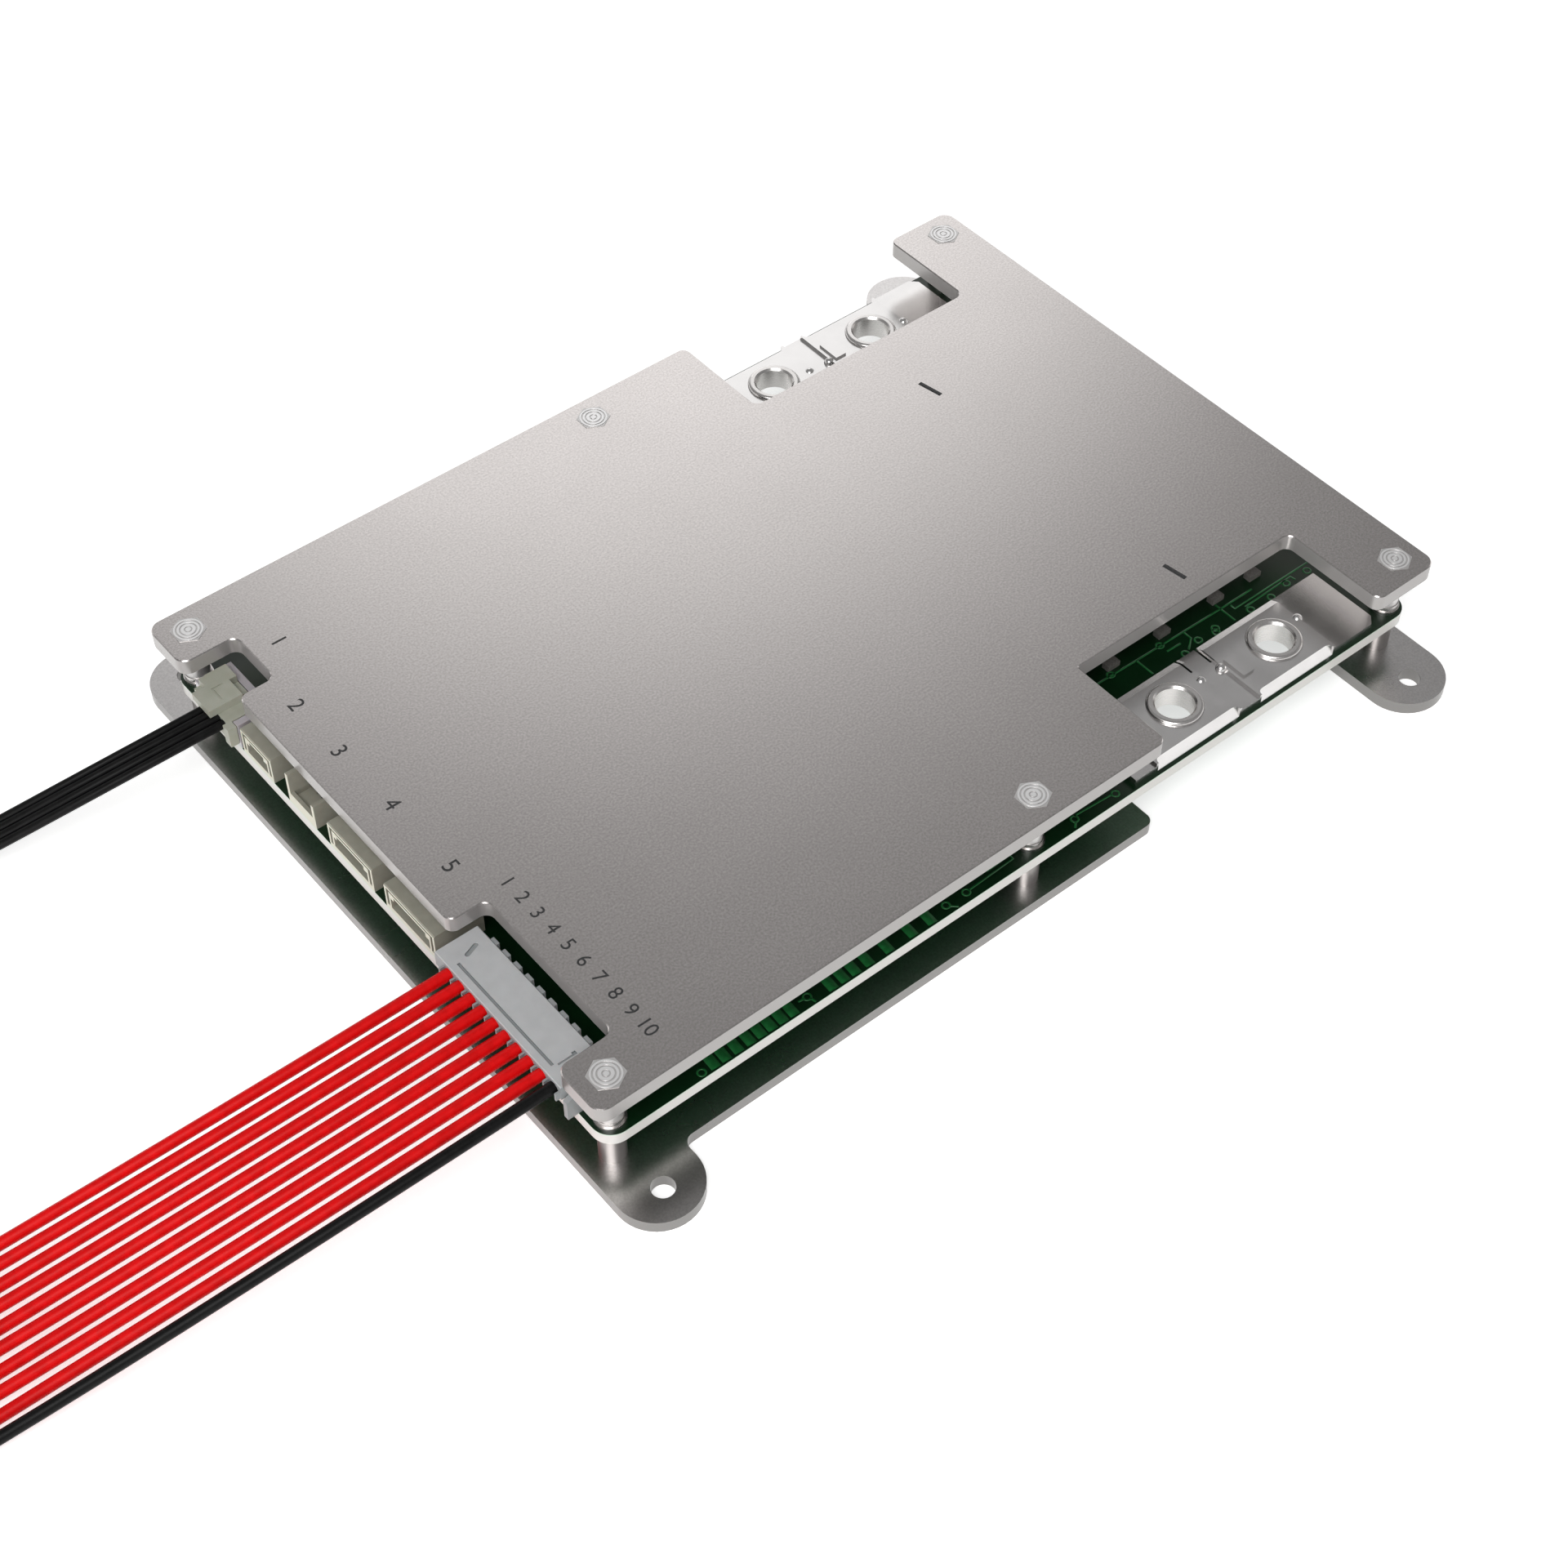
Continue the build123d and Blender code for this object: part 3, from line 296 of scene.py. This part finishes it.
def level_faces(tree):
    """1 on faces that look up or down, 0 on upright ones."""
    place = add_node(tree, "ShaderNodeTexCoord").outputs["Normal"]
    height = add_node(tree, "ShaderNodeSeparateXYZ", {0: place}).outputs["Z"]
    steep = add_node(tree, "ShaderNodeMath", {0: height}, operation="ABSOLUTE").outputs[0]
    return add_node(tree, "ShaderNodeMath", {0: steep, 1: edge_slope}, operation="GREATER_THAN").outputs[0]


def beyond(tree, axis, place):
    """1 where the object's own coordinate on an axis is more than a place in metres, 0 elsewhere."""
    point = add_node(tree, "ShaderNodeTexCoord").outputs["Object"]
    value = add_node(tree, "ShaderNodeSeparateXYZ", {0: point}).outputs[axis]
    return add_node(tree, "ShaderNodeMath", {0: value, 1: place}, operation="GREATER_THAN").outputs[0]


def cut_edges(tree, shader, colour, code, metallic):
    """Gives upright faces the duller look of milled or sheared edges."""
    flat = level_faces(tree)
    tree.links.new(blend(tree, flat, linear(code), colour), shader.inputs["Base Color"])
    span = add_node(tree, "ShaderNodeMapRange", {"Value": flat, "To Min": metallic, "To Max": 1.0})
    tree.links.new(span.outputs["Result"], shader.inputs["Metallic"])


def gloss(tree, shader, factor, low, high):
    """Roughness that varies between two values with the factor."""
    span = add_node(tree, "ShaderNodeMapRange", {"Value": factor, "To Min": low, "To Max": high})
    tree.links.new(span.outputs["Result"], shader.inputs["Roughness"])


def relief(tree, shader, height, depth, strength=1.0):
    """Bump of a real depth in millimetres."""
    bump = add_node(tree, "ShaderNodeBump", {"Height": height, "Distance": depth * mm, "Strength": strength})
    tree.links.new(bump.outputs["Normal"], shader.inputs["Normal"])


def blasted_aluminium():
    """Bead-blasted, clear-anodised aluminium: an even, soft glow with a fine sparkle-free grain."""
    material, tree, shader = finish("blasted_aluminium", "#CDC8C6", 0.22, 1.0)
    spots = grain(tree, 0.32)  # real pits are about 0.1 mm, drawn coarser so that they show
    cloud = grain(tree, 14.0)
    colour = tint(tree, shader, spots, "#C4BFBD", "#D5D0CE")
    cut_edges(tree, shader, colour, "#B2AFAD", 0.4)
    gloss(tree, shader, cloud, 0.21, 0.25)
    relief(tree, shader, spots, 0.01, 0.4)
    return material


def satin_plate():
    """Nickel-plated sheet with a satin skin: a broad soft sheen and a fine even grain."""
    material, tree, shader = finish("satin_plate", "#D5D2D1", 0.3, 1.0)
    spots = grain(tree, 0.3)  # real grain is about 0.1 mm, drawn coarser so that it shows
    colour = tint(tree, shader, spots, "#CECBCA", "#DDDAD9")
    cut_edges(tree, shader, colour, "#8F8D8B", 0.5)
    gloss(tree, shader, grain(tree, 9.0), 0.26, 0.3)
    relief(tree, shader, spots, 0.01, 0.35)
    return material


def solder_mask():
    """Glass-fibre board under green solder mask: dark glossy faces, pale cut edges."""
    material, tree, shader = finish("solder_mask_board", "#0A2C14", 0.28)
    top = blend(tree, grain(tree, 3.0), linear("#051D0B"), linear("#0A2C14"))
    mask = blend(tree, beyond(tree, "Z", board_middle), linear("#12502A"), top)
    point = add_node(tree, "ShaderNodeTexCoord").outputs["Object"]
    height = add_node(tree, "ShaderNodeSeparateXYZ", {0: point}).outputs["Z"]
    inputs = {"Value": height, "From Min": board_top - mint_depth * mm, "From Max": board_top}
    layers = add_node(tree, "ShaderNodeMapRange", inputs)
    edge = blend(tree, layers.outputs[0], linear("#EBE9E4"), linear("#CDEBD2"))
    tree.links.new(blend(tree, level_faces(tree), edge, mask), shader.inputs["Base Color"])
    relief(tree, shader, grain(tree, 0.4), 0.01, 0.4)
    return material


def masked_copper():
    """Copper under solder mask, a brighter green than the bare board."""
    material, tree, shader = finish("masked_copper", "#1B6431", 0.3)
    tint(tree, shader, grain(tree, 0.8), "#175C2B", "#1F6D36")
    return material


def nickel_steel():
    """Turned, nickel-plated steel: bright, with fine turning marks around each shank."""
    material, tree, shader = finish("nickel_steel", "#DDDAD8", 0.26, 1.0)
    marks = grain(tree, 0.2, 2.0, (0.05, 0.05, 1))
    gloss(tree, shader, marks, 0.22, 0.32)
    relief(tree, shader, marks, 0.003, 0.3)
    return material


def drawn_nickel():
    """Drawn, nickel-plated tube of the spacers: greyer and softer than the turned steel."""
    material, tree, shader = finish("drawn_nickel", "#AFABA9", 0.34, 1.0)
    lines = grain(tree, 0.25, 2.0, (1, 1, 0.05))
    gloss(tree, shader, lines, 0.32, 0.4)
    return material


def frosted_nickel():
    """Hexagon heads in frosted nickel: paler than the cover, with their turned rings painted near white as a
    painted highlight.
    """
    material, tree, shader = finish("frosted_nickel", "#EDEBEA", 0.36, 0.7)
    face = tint(tree, shader, grain(tree, 0.3), "#D0CECD", "#D8D6D5")
    # painted highlight: every part of a head above the ring level is painted near white
    ridges = beyond(tree, "Z", cover_top + ridge_height * mm)
    tree.links.new(blend(tree, ridges, face, linear("#FBFAFA")), shader.inputs["Base Color"])
    return material


def tinned_copper():
    """Stamped, tin-plated copper: a smooth, even satin shine with barely seen cloudy patches."""
    material, tree, shader = finish("tinned_copper", "#E2E0DF", 0.24, 1.0)
    cloud = grain(tree, 5.0)
    tint(tree, shader, cloud, "#DEDCDB", "#E6E4E3")
    gloss(tree, shader, cloud, 0.22, 0.27)
    return material


def moulded_nylon(name, dark, light, front=None, low=None):
    """Moulded nylon of a housing: even, slightly waxy, with a painted highlight on its lit front rims and
    painted shade below the plug's top.
    """
    material, tree, shader = finish(name, light, 0.45, subsurface_weight=0.06)
    shader.inputs["Subsurface Scale"].default_value = 0.5 * mm
    colour = tint(tree, shader, grain(tree, 2.0), dark, light)
    if front:
        # painted highlight: the front faces of a socket are painted paler, as if lit from the left
        behind = beyond(tree, "X", header_front + lit_rim_depth * mm)
        tree.links.new(blend(tree, behind, linear(front), colour), shader.inputs["Base Color"])
    if low:
        # painted shade: all faces below the plug's top are painted greyer
        above = beyond(tree, "Z", plug_top - painted_shade_drop * mm)
        tree.links.new(blend(tree, above, linear(low), colour), shader.inputs["Base Color"])
    relief(tree, shader, grain(tree, 0.15), 0.01, 0.5)  # real texture is about 0.05 mm, drawn coarser
    return material


def grey_ceramic():
    """Fired ceramic bodies of the small chips: matt mid-grey with paler specks."""
    material, tree, shader = finish("grey_ceramic", "#74716D", 0.6)
    tint(tree, shader, grain(tree, 0.3), "#6B6864", "#7D7A76")
    return material


def moulded_epoxy():
    """Black moulding compound of chips and transistors: matt with a fine gritty skin."""
    material, tree, shader = finish("moulded_epoxy", "#1B1B1C", 0.55)
    spots = grain(tree, 0.2)
    tint(tree, shader, spots, "#161617", "#242425")
    relief(tree, shader, spots, 0.015, 0.6)
    return material


def silicone_pad():
    """Thermal pad: dull grey silicone with a faint glass weave."""
    material, tree, shader = finish("silicone_pad", "#8E959C", 0.7)
    weave = grain(tree, 0.6)
    tint(tree, shader, weave, "#868D94", "#989FA6")
    relief(tree, shader, weave, 0.03, 0.5)
    return material


def capacitor_can():
    """Drawn aluminium can: bright with vertical draw lines."""
    material, tree, shader = finish("capacitor_can", "#CFCFD1", 0.22, 1.0)
    lines = grain(tree, 0.25, 2.0, (1, 1, 0.05))
    gloss(tree, shader, lines, 0.18, 0.32)
    return material


def wire_sleeve(name, dark, light):
    """PVC wire insulation: smooth, soft gloss, with faint flow marks."""
    material, tree, shader = finish(name, light, 0.4)
    shader.inputs["Specular IOR Level"].default_value = 0.15
    marks = grain(tree, 1.5)
    tint(tree, shader, marks, dark, light)
    gloss(tree, shader, marks, 0.36, 0.46)
    return material


def cover_ink():
    """Screen-printed ink: flat, nearly black, thin enough to look part of the metal."""
    material, tree, shader = finish("cover_ink", "#2B2B2C", 0.5)
    tint(tree, shader, grain(tree, 0.3), "#252526", "#3A3A3B")
    return material


def solder_tin():
    """Tinned copper strands: bright, slightly lumpy solder skin."""
    material, tree, shader = finish("solder_tin", "#D4D4D3", 0.24, 1.0)
    relief(tree, shader, grain(tree, 0.25), 0.02, 0.5)
    return material


materials = {
    "cover": blasted_aluminium(),
    "base": satin_plate(),
    "board": solder_mask(),
    "masked_copper": masked_copper(),
    "steel": nickel_steel(),
    "tube": drawn_nickel(),
    "heads": frosted_nickel(),
    "tin": tinned_copper(),
    # the third colour of a housing is the painted highlight on its lit front rims
    "header": moulded_nylon("cream_nylon", "#99978A", "#A2A093", "#E6E5D3"),
    "sensor_plug": moulded_nylon("beige_nylon", "#A9AA9B", "#B0B1A4"),
    "sensor_header": moulded_nylon("lilac_nylon", "#B0AAAE", "#B8B2B6", "#DDD9DC"),
    # low is the painted shade below the plug's top
    "plug": moulded_nylon("grey_nylon", "#BCBDBE", "#C2C3C4", low="#9DA0A1"),
    "ceramic": grey_ceramic(),
    "black_plastic": moulded_epoxy(),
    "pad": silicone_pad(),
    "can": capacitor_can(),
    "red_wire": wire_sleeve("red_sleeve", "#DA0A0C", "#EC0E11"),
    "black_wire": wire_sleeve("black_sleeve", "#0D0D0D", "#151515"),
    "ink": cover_ink(),
    "solder": solder_tin(),
}


def dress(finish_name, *names):
    """Gives carried-over nodes their finish."""
    for name in names:
        for slot in nodes[name].material_slots:
            slot.material = materials[finish_name]


# Things that repeat, made with geometry nodes

ring_facets = 20
strand_count = 6
strand_turns = 0.8
strand_steps = 12
strand_facets = 6


def node_group(name, sizes):
    """An empty geometry tree with named sizes, a material and the geometry as inputs."""
    tree = bpy.data.node_groups.new(name, "GeometryNodeTree")
    tree.interface.new_socket("Geometry", in_out="INPUT", socket_type="NodeSocketGeometry")
    for size in sizes:
        tree.interface.new_socket(size, in_out="INPUT", socket_type="NodeSocketFloat")
    tree.interface.new_socket("Material", in_out="INPUT", socket_type="NodeSocketMaterial")
    tree.interface.new_socket("Geometry", in_out="OUTPUT", socket_type="NodeSocketGeometry")
    start = tree.nodes.new("NodeGroupInput")
    end = tree.nodes.new("NodeGroupOutput")
    return tree, start.outputs, end.inputs[0]


def close_group(tree, geometry, material, out):
    """Ends a geometry tree in real geometry with its material."""
    real = add_node(tree, "GeometryNodeRealizeInstances", {"Geometry": geometry})
    painted = add_node(tree, "GeometryNodeSetMaterial", {"Geometry": real.outputs[0], "Material": material})
    tree.links.new(painted.outputs[0], out)


def trace_group():
    """Flat ribbons that follow the edges of a mesh: the board's copper tracks."""
    tree, given, out = node_group("copper_tracks", ("Width", "Thickness"))
    lines = add_node(tree, "GeometryNodeMeshToCurve", {"Mesh": given["Geometry"]})
    upright = add_node(tree, "GeometryNodeSetCurveNormal", {"Curve": lines.outputs[0]}, mode="Z_UP")
    inputs = {"Width": given["Width"], "Height": given["Thickness"]}
    profile = add_node(tree, "GeometryNodeCurvePrimitiveQuadrilateral", inputs)
    inputs = {"Curve": upright.outputs[0], "Profile Curve": profile.outputs[0], "Fill Caps": True}
    ribbon = add_node(tree, "GeometryNodeCurveToMesh", inputs)
    close_group(tree, ribbon.outputs[0], given["Material"], out)
    return tree


def ring_group():
    """A flat ring at each point of a mesh: the copper rings around the board's vias."""
    tree, given, out = node_group("via_rings", ("Radius", "Width", "Thickness"))
    inputs = {"Resolution": ring_facets, "Radius": given["Radius"]}
    circle = add_node(tree, "GeometryNodeCurvePrimitiveCircle", inputs)
    inputs = {"Width": given["Width"], "Height": given["Thickness"]}
    profile = add_node(tree, "GeometryNodeCurvePrimitiveQuadrilateral", inputs)
    inputs = {"Curve": circle.outputs["Curve"], "Profile Curve": profile.outputs[0]}
    ring = add_node(tree, "GeometryNodeCurveToMesh", inputs)
    inputs = {"Points": given["Geometry"], "Instance": ring.outputs[0]}
    rings = add_node(tree, "GeometryNodeInstanceOnPoints", inputs)
    close_group(tree, rings.outputs[0], given["Material"], out)
    return tree


def strand_group():
    """Fine strands twisted together along an upright line: a stripped wire end."""
    tree, given, out = node_group("twisted_strands", ("Length", "Core", "Strand"))
    inputs = {"Resolution": strand_steps, "Rotations": strand_turns, "Start Radius": given["Core"],
              "End Radius": given["Core"], "Height": given["Length"]}
    twist = add_node(tree, "GeometryNodeCurveSpiral", inputs)
    inputs = {"Resolution": strand_facets, "Radius": given["Strand"]}
    profile = add_node(tree, "GeometryNodeCurvePrimitiveCircle", inputs)
    inputs = {"Curve": twist.outputs[0], "Profile Curve": profile.outputs["Curve"], "Fill Caps": True}
    strand = add_node(tree, "GeometryNodeCurveToMesh", inputs)
    points = add_node(tree, "GeometryNodePoints", {"Count": strand_count})
    index = add_node(tree, "GeometryNodeInputIndex").outputs[0]
    turn = add_node(tree, "ShaderNodeMath", {0: index, 1: 2 * math.pi / strand_count}, operation="MULTIPLY")
    spin = add_node(tree, "ShaderNodeCombineXYZ", {"Z": turn.outputs[0]})
    inputs = {"Points": points.outputs[0], "Instance": strand.outputs[0], "Rotation": spin.outputs[0]}
    strands = add_node(tree, "GeometryNodeInstanceOnPoints", inputs)
    close_group(tree, strands.outputs[0], given["Material"], out)
    return tree


def grown(name, source, tree, sizes, material):
    """Runs a geometry tree on a mesh and returns the plain mesh that it makes."""
    holder = bpy.data.objects.new(name, source)
    bpy.context.collection.objects.link(holder)
    modifier = holder.modifiers.new(name, "NODES")
    modifier.node_group = tree
    values = dict(sizes, Material=material)
    for item in tree.interface.items_tree:
        if item.in_out == "INPUT" and item.name in values:
            modifier[item.identifier] = values[item.name]
    graph = bpy.context.evaluated_depsgraph_get()
    mesh = bpy.data.meshes.new_from_object(holder.evaluated_get(graph))
    holder.modifiers.remove(modifier)
    bpy.data.objects.remove(holder)
    mesh.name = name
    return mesh


def point_mesh(name, places, height):
    """Loose points on a level, from places in millimetres."""
    mesh = bpy.data.meshes.new(name)
    mesh.from_pydata([(x * mm, y * mm, height) for x, y in places], [], [])
    return mesh


def line_mesh(name, lines, height):
    """Open lines on a level, from corner lists in millimetres."""
    corners = []
    edges = []
    for line in lines:
        first = len(corners)
        corners += [(x * mm, y * mm, height) for x, y in line]
        edges += [(first + i, first + i + 1) for i in range(len(line) - 1)]
    mesh = bpy.data.meshes.new(name)
    mesh.from_pydata(corners, edges, [])
    return mesh


# The board's artwork, where the cover leaves it open

copper_thick = 0.04
track_width = 0.32
edge_pad_width = 1.45
edge_pad_slant = 0.2
via_radius = 0.55
via_width = 0.28

edge_pad_line = (-51.3, -48.2)
edge_pads = (
    -55.8, -54.0, -52.0, -50.0, -48.2, -46.5, -44.7, -42.9,
    -36.4, -34.4, -32.5, -30.2, -26.8, -22.7, -19.4,
)
edge_rings = ((-57.7, -50.7), (-39.9, -50.0), (-16.1, -50.1), (-12.55, -50.15), (7.4, -50.0), (14.9, -50.2))
edge_tracks = (
    ((-41.3, -49.9), (-40.5, -50.0)),
    ((-39.7, -50.5), (-39.5, -51.3)),
    ((-15.7, -50.6), (-14.9, -51.3)),
    ((-12.0, -50.1), (-3.8, -49.85), (-3.8, -47.0)),
    ((-8.0, -49.2), (-4.6, -49.1), (-4.6, -47.0)),
    ((7.1, -50.5), (6.4, -51.2)),
    ((7.7, -49.6), (8.6, -49.6), (14.4, -50.0)),
)
window_rings = (
    (30.0, -33.6), (41.2, -37.4), (44.6, -36.65), (47.75, -37.1), (54.9, -37.1),
    (59.1, -37.2), (62.9, -36.6), (67.2, -36.7), (48.2, -36.5), (39.5, -33.9),
)
window_tracks = (
    ((24.0, -33.6), (34.8, -33.9), (51.4, -34.2), (58.1, -34.2)),
    ((34.8, -33.9), (34.8, -37.3)),
    ((44.05, -34.3), (44.05, -35.7), (42.2, -37.1)),
    ((39.5, -35.4), (42.1, -35.5)),
    ((51.6, -33.2), (51.6, -37.2)),
    ((53.3, -34.6), (53.3, -35.5), (68.5, -35.5)),
    ((54.7, -36.2), (64.4, -36.0), (64.5, -36.9)),
)


def board_artwork():
    """Tracks, pads and via rings of the parts of the board that show."""
    tracks = trace_group()
    rings = ring_group()
    copper = materials["masked_copper"]
    level = board_top + copper_thick * mm / 2
    fine = {"Width": track_width * mm, "Thickness": copper_thick * mm}
    wide = {"Width": edge_pad_width * mm, "Thickness": copper_thick * mm}
    low, high = edge_pad_line
    pads = [((x, low), (x + edge_pad_slant, high)) for x in edge_pads]
    mesh = grown("edge_pads", line_mesh("edge_pads", pads, level), tracks, wide, copper)
    mesh_object("edge_pads", mesh)
    mesh = grown("tracks", line_mesh("tracks", edge_tracks + window_tracks, level), tracks, fine, copper)
    mesh_object("board_tracks", mesh)
    size = {"Radius": via_radius * mm, "Width": via_width * mm, "Thickness": copper_thick * mm}
    mesh = grown("rings", point_mesh("rings", edge_rings + window_rings, level), rings, size, copper)
    mesh_object("via_rings", mesh)


# Plain numerals and minus signs on the cover

mark_rise = 0.03
tap_mark_place = (-62.5, -16.6)
tap_mark_pitch = 3.3
tap_mark_size = 2.9
socket_mark_size = 3.4
socket_marks = ((-62.1, 38.9), (-66.8, 27.0), (-66.9, 16.2), (-66.7, 3.8), (-66.7, -9.8))
minus_marks = (((43.35, 23.5), (44.1, 19.4)), ((44.15, -28.6), (44.7, -32.5)))
minus_width = 0.72


def numeral(text, x, y, size):
    """One plain printed number whose top points away from the plugs."""
    letters = bpy.data.curves.new("numeral", "FONT")
    letters.body = text
    letters.size = size * mm
    letters.align_x = "CENTER"
    letters.align_y = "CENTER"
    letters.extrude = mark_rise * mm / 2
    holder = bpy.data.objects.new("numeral", letters)
    bpy.context.collection.objects.link(holder)
    graph = bpy.context.evaluated_depsgraph_get()
    mesh = bpy.data.meshes.new_from_object(holder.evaluated_get(graph))
    bpy.data.objects.remove(holder)
    turn = Matrix.Rotation(-math.pi / 2, 4, "Z")
    mesh.transform(Matrix.Translation((x * mm, y * mm, cover_top)) @ turn)
    return mesh


def joined(name, meshes, material):
    """Several meshes as one piece."""
    shape = bmesh.new()
    for mesh in meshes:
        shape.from_mesh(mesh)
        bpy.data.meshes.remove(mesh)
    whole = bpy.data.meshes.new(name)
    shape.to_mesh(whole)
    shape.free()
    return mesh_object(name, whole, material)


def cover_marks():
    """Numbers beside the sockets and the balance wires, and a minus sign beside each terminal."""
    x, y = tap_mark_place
    taps = [numeral(str(n + 1), x, y - n * tap_mark_pitch, tap_mark_size) for n in range(tap_count)]
    sockets = [numeral(str(i + 1), *place, socket_mark_size) for i, place in enumerate(socket_marks)]
    joined("cover_numerals", taps + sockets, materials["ink"])
    size = {"Width": minus_width * mm, "Thickness": mark_rise * mm}
    lines = line_mesh("minus", minus_marks, cover_top)
    mesh = grown("minus_signs", lines, trace_group(), size, materials["ink"])
    mesh_object("minus_signs", mesh)


# Wires and their ends

tip_length = 4.0
tip_core = 0.3
tip_strand = 0.17


def wire_tip(name, line, group):
    """A stripped, twisted and tinned end that carries on from the wire's last stretch."""
    size = {"Length": tip_length * mm, "Core": tip_core * mm, "Strand": tip_strand * mm}
    mesh = grown(name, point_mesh(name, [(0, 0)], 0), group, size, materials["solder"])
    heading = (line[-1] - line[-2]).normalized()
    mesh.transform(Matrix.Translation(line[-1]) @ heading.to_track_quat("Z", "Y").to_matrix().to_4x4())
    return mesh_object(name, mesh)


def balance_wires():
    """Nine red wires and a black one, each with a stripped end."""
    group = strand_group()
    for n in range(tap_count):
        route = tap_route(n)
        wire = wire_curve(f"balance_lead_{n + 1:02d}", route, tap_size)
        colour = "black_wire" if n == tap_count - 1 else "red_wire"
        wire.data.materials.append(materials[colour])
        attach(wire, "root")
        hidden = [f"balance_wire_{n + 1:02d}"] + (["balance_wire_coil"] if n == 0 else [])
        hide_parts(*hidden)
        tip = wire_tip(f"balance_tip_{n + 1:02d}", spline_points(wire), group)


def sensor_wires():
    """Four black wires in two pairs, each pair ending in a temperature bead."""
    for n in range(sensor_count):
        route = sensor_route(n)
        wire = wire_curve(f"sensor_lead_{n + 1}", route, sensor_size)
        wire.data.materials.append(materials["black_wire"])
        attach(wire, "root")
        hidden = [f"sensor_wire_{n + 1}"] + (["sensor_wire_coil"] if n == 0 else [])
        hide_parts(*hidden)


# Floor and light; the field's edges in degrees, each lamp's place and size in metres and its power in watts

field_direction = Vector((0.477, 0.725, 0.497))
field_edges = (20.6, 10.0)
field_strength = 1.55
wall_strength = 1.25
ceiling_strength = 0.26
wall_heights = (0.05, 0.3)
floor_half = 3.0
floor_drop = 0.02
floor_glow = 0.6
key_lamp = ((-0.45, -0.35, 0.75), 0.5, 4.0)
side_lamp = ((-0.85, -0.4, 0.14), 0.4, 2.0)


def studio_world():
    """Pale walls, a dimmer ceiling and one soft bright field behind the object."""
    world = bpy.data.worlds.new("studio")
    world.use_nodes = True
    tree = world.node_tree
    direction = add_node(tree, "ShaderNodeTexCoord").outputs["Generated"]
    height = add_node(tree, "ShaderNodeSeparateXYZ", {0: direction}).outputs["Z"]
    low, high = wall_heights
    inputs = {"Value": height, "From Min": low, "From Max": high,
              "To Min": wall_strength, "To Max": ceiling_strength}
    wall = add_node(tree, "ShaderNodeMapRange", inputs, interpolation_type="SMOOTHSTEP")
    inputs = {0: direction, 1: field_direction.normalized()}
    nearness = add_node(tree, "ShaderNodeVectorMath", inputs, operation="DOT_PRODUCT").outputs["Value"]
    edge, core = (math.cos(math.radians(a)) for a in field_edges)
    inputs = {"Value": nearness, "From Min": edge, "From Max": core, "To Min": 0.0, "To Max": field_strength}
    field = add_node(tree, "ShaderNodeMapRange", inputs, interpolation_type="SMOOTHSTEP")
    level = add_node(tree, "ShaderNodeMath", {0: wall.outputs[0], 1: field.outputs[0]}, operation="MAXIMUM")
    shader = tree.nodes["Background"]
    shader.inputs["Color"].default_value = linear("#FFFFFF")
    tree.links.new(level.outputs[0], shader.inputs["Strength"])
    bpy.context.scene.world = world


def soft_lamp(name, place, size, power):
    """A square area lamp aimed at the board's middle."""
    data = bpy.data.lights.new(name, "AREA")
    data.size = size
    data.energy = power
    lamp = bpy.data.objects.new(name, data)
    lamp.location = place
    lamp.rotation_euler = Vector(place).to_track_quat("Z", "Y").to_euler()
    lamp.visible_camera = False
    bpy.context.collection.objects.link(lamp)


def pale_floor():
    """A plain white floor that stays white in the picture and keeps the object's shadow."""
    mesh = bpy.data.meshes.new("floor")
    signs = ((-1, -1), (1, -1), (1, 1), (-1, 1))
    corners = [(a * floor_half, b * floor_half, -floor_drop * mm) for a, b in signs]
    mesh.from_pydata(corners, [], [(0, 1, 2, 3)])
    floor = bpy.data.objects.new("floor", mesh)
    bpy.context.collection.objects.link(floor)
    material, tree, shader = finish("white_floor", "#F4F4F3", 0.8)
    path = add_node(tree, "ShaderNodeLightPath")
    seen = path.outputs["Is Camera Ray"]
    for kind in ("Is Glossy Ray", "Is Transmission Ray"):
        inputs = {0: seen, 1: path.outputs[kind]}
        seen = add_node(tree, "ShaderNodeMath", inputs, operation="MAXIMUM").outputs[0]
    glow = add_node(tree, "ShaderNodeMath", {0: seen, 1: floor_glow}, operation="MULTIPLY")
    shader.inputs["Emission Color"].default_value = linear("#FFFFFF")
    tree.links.new(glow.outputs[0], shader.inputs["Emission Strength"])
    mesh.materials.append(material)


photo_camera()
balance_wires()
sensor_wires()
board_artwork()
cover_marks()
dress("cover", "cover_plate")
dress("base", "base_plate")
dress("board", "circuit_board")
dress("steel", "base_studs", "flat_washers", "lock_washers", "battery_nuts", "load_nuts")
dress("tube", "lower_spacers")
dress("heads", "cover_standoffs")
dress("tin", "battery_bar", "load_bar", "header_pins", "current_shunts")
dress("header", "three_way_header", "four_way_header", "five_way_header", "open_header")
dress("sensor_header", "sensor_header")
dress("sensor_plug", "sensor_plug")
dress("plug", "balance_header", "balance_plug")
dress("ceramic", "small_chips", "bleed_resistors")
dress("black_plastic", "power_transistors", "controller_chip", "monitor_chip", "power_inductor")
dress("black_plastic", "cable_ties", "sensor_beads")
dress("pad", "thermal_pads")
dress("can", "filter_cans")
studio_world()
soft_lamp("key_lamp", *key_lamp)
soft_lamp("side_lamp", *side_lamp)
pale_floor()
bpy.context.scene.view_settings.view_transform = "Standard"
